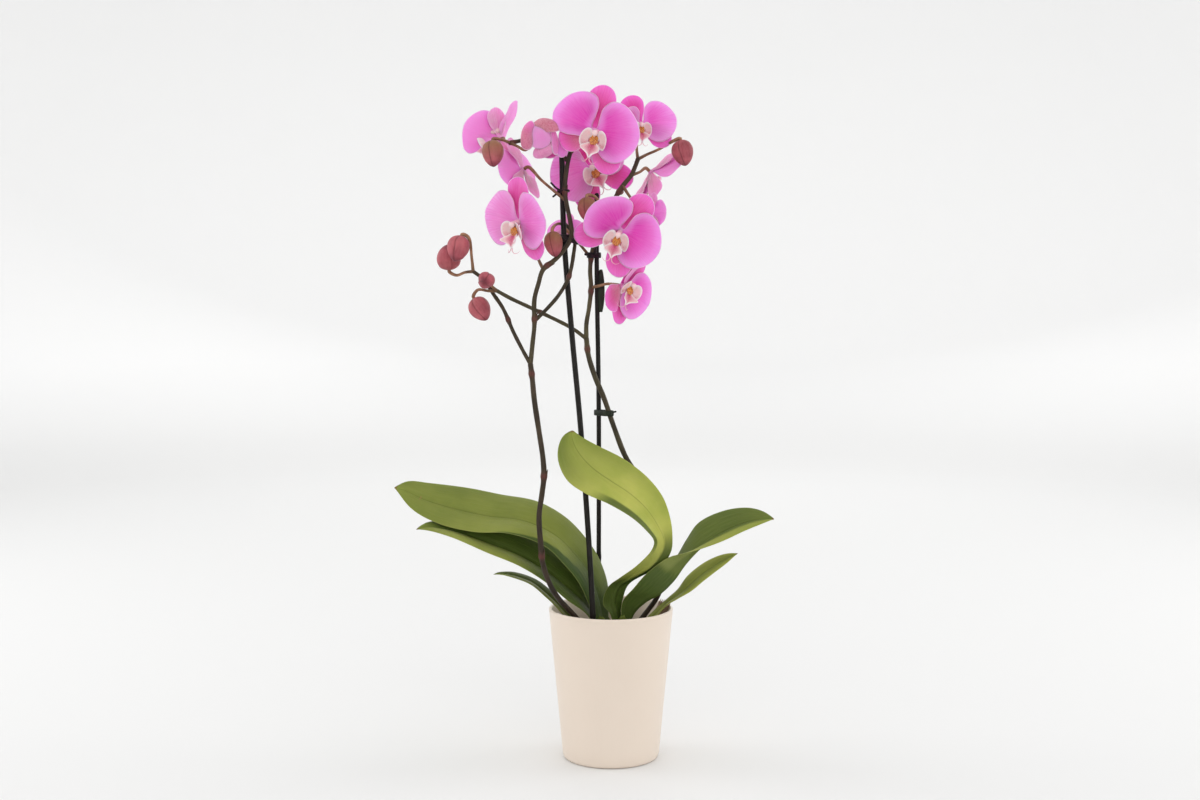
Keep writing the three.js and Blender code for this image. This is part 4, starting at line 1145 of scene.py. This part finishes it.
def tepals(bloom, seed):
    # two petals in front of three sepals, round a small turned heart
    front = {"cup": bloom["cup"]}
    back = {"cup": bloom["cup"] - sepalBack}
    own = lambda name: bloom.get(name, {})
    below = own("lateral").get("below", lateralForm["below"])
    left = {**petalForm, **front, **own("left")}
    left["tilt"] = 180 - left["tilt"]
    lateral = {**lateralForm, **back, "dusty": 0.8, **own("lateral")}
    other = {**lateral, **own("lateralLeft")}
    other["tilt"] = 180 + other.get("below", below)
    parts = [
        tepal({**petalForm, **front, **own("right")}, seed, own("right").get("outline", petalOutline), 0),
        tepal(left, seed + 1, own("left").get("outline", petalOutline), 0, -1),
        tepal({**dorsalForm, **back, **own("dorsal")}, seed + 2, sepalOutline, 1),
        tepal({**lateral, "tilt": -below}, seed + 3, sepalOutline, 1),
        tepal(other, seed + 4, sepalOutline, 1),
    ]
    heart = [[0.3, seatBack], [2.4, seatBack + 0.2], [3.2, -0.5], [2.6, seatFront], [0.2, seatFront + 0.2]]
    parts.append(turned(lineAt(heart, np.linspace(0, 1, 12)), 20, pale=0.6, rim=9.0))
    return parts


lipForm = {
    "ear": [9.4, -7.6, 8.6], "earLong": 9.8, "earWide": 6.4, "earCup": 2.6,
    "callus": [4.2, 5.4, 3.3], "midLong": 16, "midWide": 8.6, "tendril": 9,
}


def earLobe(side):
    # a cupped oval beside the column: its long axis leans in at the top, and its hollow faces
    # the callus and the viewer
    a, b, r = disc(23)
    turn = np.arctan2(b, a)
    up = unit(np.array([-0.26 * side, 0.95, 0.16]))
    out = unit(np.array([0.80 * side, 0.18, 0.58]))
    hollow = np.cross(out, up) * side
    long = lipForm["earLong"] * a * (1 + 0.06 * a)
    wide = lipForm["earWide"] * b * (1 + 0.16 * a)
    deep = lipForm["earCup"] * r**2 + 0.35 * np.sin(3 * turn + side) * r**3
    point = long[..., None] * up + wide[..., None] * out + deep[..., None] * hollow
    point = point + np.array(lipForm["ear"]) * [side, 1, 1]
    inner = np.clip(-b, 0, 1)
    looks = {
        "fan": turn * 0.5, "reach": r * 10, "rim": (1 - r) * lipForm["earWide"],
        "magenta": np.clip(0.75 * (-a - 0.2) + 0.45 * inner * r, 0, 1),
        "spotted": np.clip(1.1 * (-a - 0.25) + 0.6 * inner * r, 0, 1),
    }
    return lens(point, 0.42 * taper(r, 6), **looks)


def midLobe():
    # a trowel: narrow under the callus, flared with raised white shoulders, pointed at the tip
    u, v = strip(45, 25, packed=True)
    wide = 2.6 + lipForm["midWide"] * np.exp(-(((u - 0.42) / 0.24) ** 2)) - 1.4 * u
    wide = wide * np.clip((1.02 - u) * 7, 0, 1) ** 0.5
    raised = np.exp(-(((u - 0.40) / 0.26) ** 2))
    turn = v * (0.5 + 1.0 * raised)
    x = wide * np.sin(turn) / np.maximum(0.5 + 1.0 * raised, 0.1) * 1.35
    y = -10.5 - lipForm["midLong"] * u
    z = 7 + 6.5 * np.sin(2.1 * u) + wide * (1 - np.cos(turn)) * 0.9 + 0.5 * np.sin(11 * u) * np.abs(v) ** 3
    half = 0.45 * taper(v, 8) * taper(2 * u - 1, 10)
    magenta = np.clip(1.2 - 1.8 * np.abs(v), 0, 1) * np.clip(1.25 - 0.8 * u, 0, 1)
    spotted = np.clip(0.8 - 1.1 * np.abs(v) - 0.5 * u, 0, 1)
    looks = {"fan": v, "reach": 18 * u, "rim": (1 - np.abs(v)) * wide, "magenta": magenta, "spotted": spotted}
    return lens(np.stack([x, y, z], axis=-1), half, **looks)


def throat():
    # the cupped floor between the ears, that carries the callus and runs on into the mid lobe
    a, b, r = disc(17)
    point = np.stack([5.6 * b, -9.5 + 6.4 * a, 4.6 + 2.4 * r**2 + 0.9 * (1 - a)], axis=-1)
    looks = {"fan": b, "reach": 8 + 6 * a, "rim": 9.0, "magenta": 0.75, "spotted": 0.6}
    return lens(point, 0.5 * taper(r, 6), **looks)


def lipParts(bloom, seed):
    # the drooping column with its cap and beak, the callus, the lobes and two tendrils
    draw = np.random.default_rng(seed)
    foot = bloom.get("lip", {}).get("neck", seatFront + gap)
    outline = [[0.2, foot], [2.4, foot], [2.4, 5], [2.7, 8.5], [2.5, 11], [0.2, 12]]
    column = turned(lineAt(outline, np.linspace(0, 1, 26)), 28, rim=9.0, reach=3.0, magenta=0.25)
    p = column["points"]
    droop = 0.035 * np.maximum(p[:, 2], 0) ** 1.6
    column["points"] = np.stack([p[:, 0], p[:, 1] * 0.95 - droop, p[:, 2]], axis=-1)
    outline = [[0.2, -2.0], [2.6, -1.2], [3.0, 0.7], [1.9, 2.6], [0.2, 3.1]]
    cap = turned(lineAt(outline, np.linspace(0, 1, 18)), 28, rim=9.0)
    cap = moved(cap, turnTo([0.08, -0.3, 1]), [0, -1.8, 11.6])
    beak = moved(turned(arc((0, 0), 1.3, -88, 88, 9), 14, rim=9.0, yellow=0.35), np.eye(3), [0, -4.6, 12.6])
    u = circle(40)[::-1][None]
    w = np.linspace(0.03, math.pi - 0.03, 28)[::-1][:, None]
    # the callus is an ellipsoid cleft down its middle, with warts
    cleft = 1 - 0.34 * np.exp(-((np.cos(u) / 0.28) ** 2)) * np.sin(w) ** 2 * np.clip(-np.cos(w) + 0.9, 0, 1)
    size = cleft * (1 + 0.07 * np.sin(6 * u + 4 * w + seed) + 0.05 * np.sin(11 * u - 7 * w))
    wide, high, deep = lipForm["callus"]
    callus = np.stack([
        wide * np.sin(w) * np.cos(u) * size,
        -9.2 + high * np.sin(w) * np.sin(u) * size,
        8.4 + deep * np.cos(w) * size + 0 * u,
    ], axis=-1)
    low = np.clip(0.25 - np.sin(w) * np.sin(u), 0, 1) * 0.5
    callus = capped(callus[::-1], yellow=1 - 0.35 * low[::-1], magenta=low[::-1], spotted=1.0, rim=9.0)
    parts = [column, cap, beak, callus, earLobe(1), earLobe(-1), midLobe(), throat()]
    for side in (-1, 1):
        # a tendril curls back from the tip
        reach = lipForm["tendril"] * draw.uniform(0.8, 1.15)
        curl = [
            [0.7 * side, -26.2, 12.5], [1.6 * side, -29, 13.4], [0.5 * reach * side, -31, 13],
            [0.8 * reach * side, -30.4, 10.5], [reach * side, -28.2, 9.5],
        ]
        parts.append(tube(curl, lambda s: 0.55 * (1 - 0.72 * s), 8, 0.8, magenta=0.35, rim=9.0))
    return parts


# The half-open bloom: cupped pieces round a short core. Each has a centre from the stalk's end,
# half its width and height, how far it bulges, its turns and its looks.

openingPieces = [
    {"at": [33, 0, 1], "wide": 7.5, "high": 13, "deep": 4, "yaw": 30, "pitch": 0, "roll": -8, "inside": 1},
    {"at": [20, -4, 0], "wide": 12, "high": 13, "deep": -4, "yaw": 10, "pitch": -6, "roll": 12,
     "sepal": 1, "inside": 1},
    {"at": [25, -9, 4], "wide": 5.5, "high": 14, "deep": 3, "yaw": 50, "pitch": 0, "roll": 8, "pale": 0.3,
     "sepal": 1, "inside": 1},
    {"at": [14, -9, -5], "wide": 12, "high": 7.5, "deep": 5, "yaw": 0, "pitch": -18, "roll": 24,
     "sepal": 1},
    {"at": [17.5, -12, 20], "wide": 14, "high": 9, "deep": 6, "yaw": 8, "pitch": 34, "roll": -10,
     "dusty": 1, "sepal": 1, "inside": 1},
    {"at": [10, -15, 8.5], "wide": 11.5, "high": 12.5, "deep": 5, "yaw": 6, "pitch": 0, "roll": 14,
     "pale": 0.3},
    {"at": [-1, -12, 10], "wide": 9.4, "high": 15.2, "deep": 7.5, "yaw": -32, "pitch": 6, "roll": -8,
     "dusty": 0.8, "sepal": 1, "inside": 1},
]


def cuppedPiece(form, seed):
    # an oval that bulges towards its front: depth (1 - r^2), with a wavy rim
    a, b, r = disc(31)
    turn = np.arctan2(b, a)
    x = form["wide"] * b * (1 - 0.12 * a)
    y = form["high"] * a
    z = form["deep"] * (1 - r**2) + 0.5 * np.sin(4 * turn + seed) * r**3
    point = np.stack([x, y, z], axis=-1)
    looks = {name: form.get(name, 0) for name in ("sepal", "dusty", "pale")}
    looks |= {"fan": b, "reach": form["high"] * (1 + a), "rim": (1 - r) * form["wide"]}
    part = lens(point, tepalThick / 2 * taper(r, 8), **looks)
    if form.get("inside"):
        part["looks"]["back"] = 1 - part["looks"]["back"]
    return moved(part, bloomTurn(form), np.array(halfOpen["at"]) + form["at"])


def makeHalfOpen():
    # the cupped pieces, a turned core between them and the end of the stalk
    parts = [cuppedPiece(form, i) for i, form in enumerate(openingPieces)]
    core = lineAt([[0.2, -9], [3, -8.4], [8, -2], [9.4, 4], [6.5, 10], [0.2, 13]], np.linspace(0, 1, 24))
    core = moved(turned(core, 36, sepal=1.0, rim=9.0, reach=20.0), turnTo([0.75, -0.1, 0.55]), halfOpen["at"])
    core["points"] += [12, -1, 7]
    end = np.array([[0, 0, 0], [2, -1, 1.5], [6, -1, 4]]) + halfOpen["at"]
    end = tube(end, lambda s: 2.0 + 1.4 * s, 16, 1.0, rim=9.0, dusty=0.6)
    makePiece("half_open_tepals", parts + [core, end], [petalPink], ["bloom_half_open"])


for number, (bloomName, bloomData) in enumerate(blooms.items()):
    turn, spot = bloomTurn(bloomData), bloomData["at"]
    parts = [moved(part, turn, spot) for part in tepals(bloomData, 10 * number)]
    makePiece(bloomName + "_tepals", parts, [petalPink], [bloomName])
    lipData = {**bloomData, **bloomData.get("lip", {})}
    parts = [moved(part, bloomTurn(lipData), lipData["at"]) for part in lipParts(bloomData, number)]
    makePiece(bloomName + "_lip_and_column", parts, [lipPink], [bloomName + "_lip"])
makeHalfOpen()
print("blooms ready")


# Buds: a drop with three seams, from its base along its own direction

budShares = [
    [0.02, 0], [0.35, 0.0], [0.84, 0.16], [1, 0.38], [0.94, 0.57], [0.70, 0.78], [0.36, 0.935],
    [0.12, 0.993], [0.02, 1],
]
buds = {
    "bud_1": {"base": [-154, -28, 553], "along": [-0.25, -0.15, -0.95], "length": 27, "half": 11.4},
    "bud_2": {"base": [-169, -6, 519], "along": [-0.05, -0.12, 0.98], "length": 26, "half": 12.4},
    "bud_3": {"base": [-127, -33, 509], "along": [-0.1, -0.95, -0.1], "length": 21, "half": 8.6},
    "bud_4": {"base": [-142, -18, 489], "along": [0.5, -0.1, -0.85], "length": 26, "half": 11},
    "bud_5": {"base": [-121, -30, 650], "along": [0.02, -0.2, -1], "length": 27, "half": 11, "brown": 0.8},
    "bud_6": {"base": [-25, -20, 593], "along": [0.04, -0.1, -1], "length": 25, "half": 9.8, "brown": 0.75},
    "bud_7": {
        "base": [-60.5, -30, 557.5], "along": [0.12, -0.1, -1], "length": 26, "half": 9.4, "brown": 0.85,
    },
    "bud_8": {"base": [73, 16, 654], "along": [0.2, -0.05, -1], "length": 27, "half": 11.3},
}
seamTurn = math.radians(20)  # from the side that faces the viewer to the first seam


def makeBud(name, data, seed):
    # radius = profile (1 + 0.05 cos 3a) less a narrow groove at each of three seams
    profile = lineAt(budShares, np.linspace(0, 1, 56)) * [data["half"], data["length"]]
    a = circle(72)[::-1][None]
    r, z = profile[:, :1], profile[:, 1:]
    turn = turnTo(data["along"])
    # the angle that faces the viewer, so that the first seam stands where the bud shows it
    front = math.atan2(*(turn.T @ -yAxis)[[1, 0]]) + seamTurn
    off = (a - front + 0.22 * (z / data["length"] - 0.5) + math.pi / 3) % (2 * math.pi / 3) - math.pi / 3
    near = np.exp(-((np.abs(off) * np.maximum(r, 2) / 0.6) ** 2))
    lap = 0.35 * np.clip(off * np.maximum(r, 2) / 1.5, -1, 1) * np.exp(-((off / 0.5) ** 2))
    r = r * (1 - 0.05 * np.cos(3 * off)) + (lap - 0.55 * near) * np.clip(r / 4, 0, 1)
    rings = spun(r, z, a)
    rings = rings + 0.12 * smoothNoise(rings, 9, seed)[..., None] * [1, 1, 0]
    high = z / data["length"] + 0 * a
    brown = data.get("brown", 0.1) * np.clip(1.25 - 1.5 * high, 0, 1)
    # the maroon tip: partly the bud's own deeper tone, partly painted shade
    tip = np.clip((high - 0.80) * 4, 0, 0.85)
    part = capped(rings, seam=0.75 * near, fan=off, reach=z + 0 * a, brown=brown, tip=tip)
    makePiece(name + "_closed", [moved(part, turn, data["base"])], [budRose], [name])


for number, (budName, budData) in enumerate(buds.items()):
    makeBud(budName, budData, 40 + number)
print("buds ready")


# Spikes: stems as lists of points, and flower stalks that run on from them

stemSize = {"spike": 2.8, "upper": 2.4, "branch": 2.0, "stalk": 1.65}
leftMain = [
    [-6, -8, 118], [-22, -16, 138], [-40, -26, 159], [-59, -38, 184], [-70, -48, 214],
    [-73, -54, 243], [-74, -56, 268], [-71, -56, 290], [-69, -55, 308], [-70, -53, 326],
    [-74, -50, 353], [-79, -46, 386], [-81, -43, 406], [-83, -41, 422],
]
leftUpper = [
    [-83, -41, 422], [-81, -39, 442], [-79, -37, 462], [-79, -35, 488], [-75, -33, 504],
    [-70, -31, 519], [-57, -28, 530], [-46, -25, 543], [-41, -23, 553], [-42, -22, 567],
    [-46, -21, 586], [-48, -20, 601], [-47, -19, 614], [-45, -18, 628], [-42, -18, 640],
]
leftSide = [
    [-79, -36, 466], [-65, -31, 480], [-54, -26, 493], [-44, -20, 511], [-39, -14, 535],
    [-38, -8, 550], [-42, -5, 560], [-48, -4, 566],
]
leftLow = [
    [-83, -41, 422], [-92, -37, 438], [-101, -31, 455], [-112, -24, 479], [-123, -18, 495],
    [-129, -16, 506], [-136, -17, 512], [-143, -18, 517],
]
leftTop = [[-45, -18, 630], [-56, -14, 645], [-70, -12, 653], [-90, -14, 652], [-104, -18, 649]]
rightMain = [
    [14, 6, 118], [26, 14, 136], [38, 15, 152], [50, 14, 170], [58, 12, 199], [57, 9, 232],
    [46, 6, 271], [31, 6, 297], [16, 8, 320], [3, 10, 353], [-7, 12, 382], [-17, 12, 406],
    [-24, 12, 429], [-26, 12, 446],
]
rightUpper = [
    [-26, 12, 446], [-26, 12, 461], [-23, 12, 480], [-21, 12, 500], [-22, 12, 517], [-21, 12, 531],
    [-18, 8, 544], [-12, 5, 558], [-6, 2, 571], [0, 0, 585], [7, 0, 598], [13, 2, 607], [21, 4, 617],
    [25, 6, 626], [28, 8, 634],
]
rightLow = [
    [-26, 12, 446], [-41, 12, 457], [-70, 6, 472], [-88, -6, 481], [-104, -18, 489],
    [-118, -24, 497],
]


def toBloom(bloom, points):
    # a stalk runs out behind the bloom and meets the back of its heart
    turn = bloomTurn(bloom)
    size = bloom.get("size", 1)
    behind = lambda depth: (turn @ [0, 0, seatBack - depth / size] + bloom["at"]).tolist()
    return [*points, behind(4.5), behind(-0.5)]


def toBud(bud, points):
    # a stalk turns into the bud's own direction and meets its base
    way = unit(np.array(bud["along"], float))
    back = lambda depth: (np.array(bud["base"]) - way * depth).tolist()
    return [*points, back(2.2), back(-0.8)]


leftStalks = [
    toBloom(blooms["bloom_3"], [[-70, -31, 519], [-76, -24, 532], [-80, -18, 552]]),
    toBloom(blooms["bloom_2"], [[-47, -20, 590], [-58, -19, 599], [-72, -12, 611]]),
    toBloom(blooms["bloom_4"], [[-42, -18, 638], [-36, -20, 646], [-28, -26, 655]]),
    toBloom(blooms["bloom_1"], [[-104, -18, 649], [-110, -10, 652]]),
    toBloom(halfOpen, [[-104, -18, 649], [-98, -22, 646]]),
    toBud(buds["bud_5"], [[-104, -18, 649], [-113, -25, 652]]),
    toBud(buds["bud_7"], [[-48, -4, 566], [-56, -14, 566]]),
    toBud(buds["bud_1"], [[-143, -18, 517], [-144, -22, 530], [-147, -27, 552]]),
    toBud(buds["bud_2"], [[-143, -18, 517], [-152, -13, 516], [-161, -9, 513]]),
]
rightStalks = [
    toBloom(blooms["bloom_8"], [[-2, 0, 580], [4, -8, 572]]),
    toBloom(blooms["bloom_10"], [[-21, 12, 500], [-12, 6, 502], [-4, 0, 504]]),
    toBloom(blooms["bloom_9"], [[-21, 12, 531], [-36, 13, 549], [-48, 13, 562]]),
    toBloom(blooms["bloom_7"], [[6, 0, 597], [12, 20, 601], [6, 37, 614]]),
    toBloom(blooms["bloom_5"], [[28, 8, 634], [27, 18, 646], [28, 24, 660]]),
    toBloom(blooms["bloom_6"], [[21, 4, 617], [30, 14, 621]]),
    toBloom(blooms["bloom_11"], [[12, 1, 606], [20, -2, 594], [28, -4, 584]]),
    toBud(buds["bud_8"], [[28, 8, 634], [37, 14, 639], [51, 20, 645.5], [63, 19, 652.5]]),
    toBud(buds["bud_6"], [[-8, 3, 567], [-11, -8, 586], [-18, -16, 594.5]]),
    toBud(buds["bud_3"], [[-118, -24, 497], [-123, -28, 502]]),
    toBud(buds["bud_4"], [[-118, -24, 497], [-127, -25, 497], [-138, -21, 498]]),
]


# Each stem: its points, its thickness, its joints as shares of its length, how many of them carry
# a bract, and how olive it is at its foot and its top
spikes = {
    "left": {
        "stems": [
            (leftMain, "spike", (0.403, 0.654, 0.97), 2, (0.0, 0.15)),
            (leftUpper, "upper", (0.2, 0.45, 0.82), 3, (0.55, 0.1)),
            (leftSide, "branch", (0.5,), 0, (0.35, 0.3)),
            (leftLow, "branch", (0.45, 0.8), 0, (0.25, 0.15)),
            (leftTop, "branch", (0.5, 0.97), 0, (0.2, 0.15)),
        ],
        "stalks": leftStalks,
    },
    "right": {
        "stems": [
            (rightMain, "spike", (0.25, 0.55, 0.97), 2, (0.0, 0.6)),
            (rightUpper, "upper", (0.25, 0.42, 0.8), 3, (0.95, 0.3)),
            (rightLow, "branch", (0.5,), 0, (0.75, 0.5)),
        ],
        "stalks": rightStalks,
    },
}


def stem(points, radius, joints, olive):
    # radius (1 + small ripples), swollen by a hump at each joint; colours change along it
    length = lengthOf(points)
    hump = lambda s: sum((np.exp(-(((s - j) * length / 3.2) ** 2)) for j in joints), 0 * s)
    size = lambda s: radius * (1 + 0.03 * np.sin(31 * s) + 0.02 * np.sin(77 * s)) + 0.8 * hump(s)
    tint = lambda s: olive[0] + (olive[1] - olive[0]) * s
    return tube(points, size, 18, 1.6, olive=tint, node=lambda s: 0.7 * hump(s))


def bract(points, share, radius):
    # a small scale that clasps the joint and points up the stem: (r cos a, r sin a, 9 u) with a
    # narrowing as u grows
    near = lineAt(points, [share - 0.01, share, share + 0.01])
    way = unit(near[2] - near[0])
    u, v = strip(16, 13)
    a = v * (1.5 - 1.25 * u**1.5)
    r = radius + 0.45 + 0.6 * u**2
    sheet = spun(r, 9 * u - 1.5, a)
    part = lens(sheet, 0.28 * taper(v, 6) * taper(2 * u - 1, 8), node=0.55 - 0.4 * u, olive=0.3)
    return moved(part, turnTo(way), near[1])


def stalk(points):
    # slightly thicker where it leaves the stem, tan to reddish
    size = lambda s: stemSize["stalk"] * (1.12 - 0.25 * np.sin(math.pi * np.clip(s * 1.2, 0, 1)))
    return tube(points, size, 14, 1.4, tan=lambda s: np.clip(0.35 + 1.4 * s, 0, 1), olive=0.5)


def makeSpike(side):
    # the stems with their bracts, and the flower stalks
    parts = []
    for points, thickness, joints, bracts, olive in spikes[side]["stems"]:
        radius = stemSize[thickness]
        parts.append(stem(points, radius, joints, olive))
        parts += [bract(points, share, radius) for share in joints[:bracts]]
    parts += [stalk(points) for points in spikes[side]["stalks"]]
    makePiece(side + "_spike_stems", parts, [stemBrown], ["spike_" + side])


for spikeSide in spikes:
    makeSpike(spikeSide)
print("spikes ready")


# Stakes and what ties the spikes to them

# Each stake: its radius, where it has a ring as a share of its length, how much thinner it is
# below the ring, and its points from its foot in the bark
stakes = {
    "left": {
        "radius": 2.9, "ring": 0.225, "thinner": 0.1,
        "points": [
            [-16, -27, 20], [-19, -26, 156], [-31, -22, 345], [-41, -17, 454], [-49, -13.5, 554],
            [-51, -12, 634],
        ],
    },
    "right": {
        "radius": 2.5, "ring": 0.33, "thinner": 0,
        "points": [[-13, 30, 20], [-13, 28, 163], [-13, 20, 380], [-15, 15, 517], [-15, 12, 597]],
    },
}


def makeStake(side):
    # radius (1 + 0.16 exp(-(s - ring)^2 / 0.006^2)), thinner below the ring
    data = stakes[side]
    ring = lambda s: 0.16 * np.exp(-(((s - data["ring"]) / 0.006) ** 2))
    size = lambda s: data["radius"] * (1 + ring(s) - data["thinner"] * (s < data["ring"] - 0.005))
    part = tube(data["points"], size, 24, 2.5)
    makePiece(side + "_stake_rod", [part], [stakeSkin], ["stake_" + side])


def band(first, second, radius, high, thick):
    # a rounded strap round two rods: a stadium outline with a rounded wall section
    first, second = np.array(first, float), np.array(second, float)
    reach = second - first
    long = math.hypot(reach[0], reach[1])
    turn, section = circle(64), circle(12)
    middle = np.where(np.abs(turn - math.pi) < math.pi / 2, 0.0, long)
    out = radius + thick / 2 * np.cos(section)[None]
    x = middle[:, None] + out * np.cos(turn)[:, None]
    y = out * np.sin(turn)[:, None]
    z = high / 2 * np.sign(np.sin(section)) * np.abs(np.sin(section)) ** 0.5
    points = np.stack([x, y, z[None] + 0 * x], axis=-1).reshape(-1, 3)
    index = np.arange(x.size).reshape(x.shape)
    index = np.vstack([index, index[:1]])
    part = {"points": points, "faces": [gridFaces(index, wrap=True)], "looks": {}}
    spin = turnedAbout(np.eye(3), zAxis, math.degrees(math.atan2(reach[1], reach[0]))).T
    return moved(part, spin, first)


# Each tie: the node it dresses, its skin, its straps (the places of two rods, radius, height and
# thickness) and its wires (points, radius, sides and step)
ties = {
    "tie_wire": {
        "node": "clip_1", "skin": clipSkin, "straps": [],
        "wires": [
            ([[-57, -17, 598], [-52, -20.5, 600], [-46, -22.5, 600.5], [-43.5, -19, 600],
              [-45, -14, 599.5], [-50, -9, 600], [-55, -11, 601], [-54, -16.5, 600],
              [-50, -21, 599.5]], 1.0, 10, 1.2),
            ([[-52, -18, 600], [-57, -18.5, 603], [-62, -19, 608]], 1.0, 10, 1.2),
            ([[-51, -18, 600], [-56, -18, 597], [-60, -18.5, 594]], 1.0, 10, 1.2),
        ],
    },
    "tie_knot": {
        "node": "clip_2", "skin": clipSkin,
        "straps": [
            ([-48.4, -14, 549 + 2.4 * i], [-39, -19, 549.5 + 1.6 * i], 4.6, 3.0, 2.2) for i in range(3)
        ],
        "wires": [
            ([[-44, -23, 548], [-38, -25, 551], [-33, -22, 554], [-31.5, -19, 556]], 1.4, 10, 1.2),
            ([[-50, -19, 554], [-46, -22, 551], [-40, -24, 548], [-35, -22, 546]], 1.6, 10, 1.2),
        ],
    },
    "clip_low": {
        "node": "clip_3", "skin": clipSkin, "straps": [([-15, 14, 534], [-21, 12, 534], 3.9, 6, 1.6)],
        "wires": [
            ([[-23, 8.5, 534], [-25, 8, 534.5], [-27, 8, 535]], 1.3, 10, 1),
            ([[-17, 9.5, 536], [-17, 9, 540], [-17, 9, 543]], 2.0, 12, 1),
        ],
    },
    "clip_top": {
        "node": "clip_4", "skin": clipSkin, "straps": [([-15, 12.4, 588], [-12, 9, 588], 3.6, 4, 1.5)],
        "wires": [([[-9, 8, 589], [-7, 7, 590.5], [-5, 6, 592]], 0.9, 10, 0.8)],
    },
    "clip_stem": {
        "node": "clip_5", "skin": greenClip, "straps": [([-13, 20.3, 367], [-2, 11, 367], 4.4, 6, 1.6)],
        "wires": [([[1, 9.5, 367.5], [3, 8.6, 368.5], [5, 8, 369]], 1.0, 10, 0.8)],
    },
}
longClip = {"at": [-10.6, 14.5, 474], "long": 45, "half": 4, "thick": 3}


def makeTie(name, data):
    # straps round stem and stake, and wires or the ends that stick out
    parts = [band(*strap) for strap in data["straps"]] + [tube(*wire) for wire in data["wires"]]
    makePiece(name, parts, [data["skin"]], [data["node"]])


def makeLongClip():
    # a plate beside the stake, with its width half sqrt(sin) along it
    x, y, z = longClip["at"]
    u, v = strip(50, 15, packed=True)
    wide = longClip["half"] * np.sin(math.pi * (0.04 + 0.92 * u)) ** 0.5
    sheet = np.stack([x + wide * v, y + 0 * u, z + longClip["long"] * u], axis=-1)
    half = longClip["thick"] / 2 * taper(v, 4) * taper(2 * u - 1, 12)
    makePiece("long_clip", [lens(sheet, half)], [greenClip], ["side_clip"])


for stakeSide in stakes:
    makeStake(stakeSide)
for tieName, tieData in ties.items():
    makeTie(tieName, tieData)
makeLongClip()
print("stakes and ties ready")


# Studio: a pale floor that curves up all round, soft lights and the camera

studio = {
    # floorTone is painted shade: a darker grey than wallTone
    "floor": 2.5, "cove": 1.1, "wall": 1.9, "floorTone": (0.82, 0.82, 0.815), "wallTone": (0.97, 0.97, 0.968),
    "camera": (-0.0116, -1.75, 0.5197), "pitch": 85.5, "lens": 50, "air": 0.75, "glow": 0.04,
    # lights: place, what they face, size in metres and power in watts
    "lights": {
        "above": ((-0.3, -0.2, 2.2), (0, 0, 0.4), (2.2, 2.2), 5),
        "left": ((-2.1, 0.45, 1.15), (0, 0, 0.35), (1.4, 1.2), 11),
        "right": ((2.1, 0.45, 1.15), (0, 0, 0.35), (1.4, 1.2), 11),
        "front": ((0.2, -2.4, 1.4), (0, 0, 0.5), (2.4, 1.6), 10),
        "behind": ((0.2, 2.7, 1.35), (0, 0, 0.2), (2.6, 1.2), 11),
    },
}


def makeStage():
    # a floor, a quarter circle and a wall, turned round the part
    floor, cove, wall = (studio[name] / mm for name in ("floor", "cove", "wall"))
    profile = [[0.001, 0], [400, 0], [floor, 0]]
    profile += arc((floor, cove), cove, -84, 0, 14)
    profile += [[floor + cove, wall]]
    r, z = np.array(profile).T[:, :, None]
    rings = spun(r, z, circle(96)[None]) * mm
    index = np.arange(rings[..., 0].size).reshape(rings.shape[:2])
    mesh = bpy.data.meshes.new("stage")
    mesh.from_pydata(rings.reshape(-1, 3).tolist(), [], gridFaces(index, wrap=True).tolist())
    mesh.polygons.foreach_set("use_smooth", np.ones(len(mesh.polygons), bool))
    paint = Paint("stagePaint", Roughness=0.9, Specular_IOR_Level=0.1, Emission_Strength=studio["glow"])
    height = paint.add("SeparateXYZ", {0: paint.place()}).outputs["Z"]
    rise = paint.spread(height, 0.0, 0.3)
    # painted shade: the floor is painted a darker grey than the wall, so that it looks dimmer than the wall
    # under the same light
    paint.plug(paint.sockets["Base Color"], paint.mix(rise, studio["floorTone"], studio["wallTone"]))
    # a faint glow low on the wall, so that no line shows where it meets the floor
    glow = paint.times(paint.spread(height, 0.0, 0.13), paint.spread(height, 0.5, 1.4, 1.0, 0.1))
    paint.plug(paint.sockets["Emission Color"], paint.mix(glow, (0, 0, 0), (1, 1, 1)))
    mesh.materials.append(paint.material)
    stage = bpy.data.objects.new("stage", mesh)
    bpy.context.scene.collection.objects.link(stage)


def addLight(name, place, aim, size, power):
    # a rectangle of light that faces its aim
    light = bpy.data.lights.new(name, "AREA")
    light.shape = "RECTANGLE"
    light.size, light.size_y = size
    light.energy = power
    made = bpy.data.objects.new(name, light)
    made.location = place
    made.rotation_mode = "QUATERNION"
    made.rotation_quaternion = (Vector(aim) - Vector(place)).to_track_quat("-Z", "Y")
    bpy.context.scene.collection.objects.link(made)


def makeStudio():
    # the stage, the lights, an even pale sky and the camera
    makeStage()
    for name, values in studio["lights"].items():
        addLight(name + "Light", *values)
    world = bpy.data.worlds.new("studioAir")
    world.use_nodes = True
    back = world.node_tree.nodes["Background"].inputs
    back["Color"].default_value = (1, 1, 1, 1)
    back["Strength"].default_value = studio["air"]
    bpy.context.scene.world = world
    data = bpy.data.cameras.new("camera")
    data.lens, data.sensor_width = studio["lens"], 36
    camera = bpy.data.objects.new("camera", data)
    camera.location = studio["camera"]
    camera.rotation_euler = (math.radians(studio["pitch"]), 0, 0)
    bpy.context.scene.collection.objects.link(camera)
    bpy.context.scene.camera = camera
    bpy.context.scene.view_settings.view_transform = "Standard"


makeStudio()
print("studio ready")
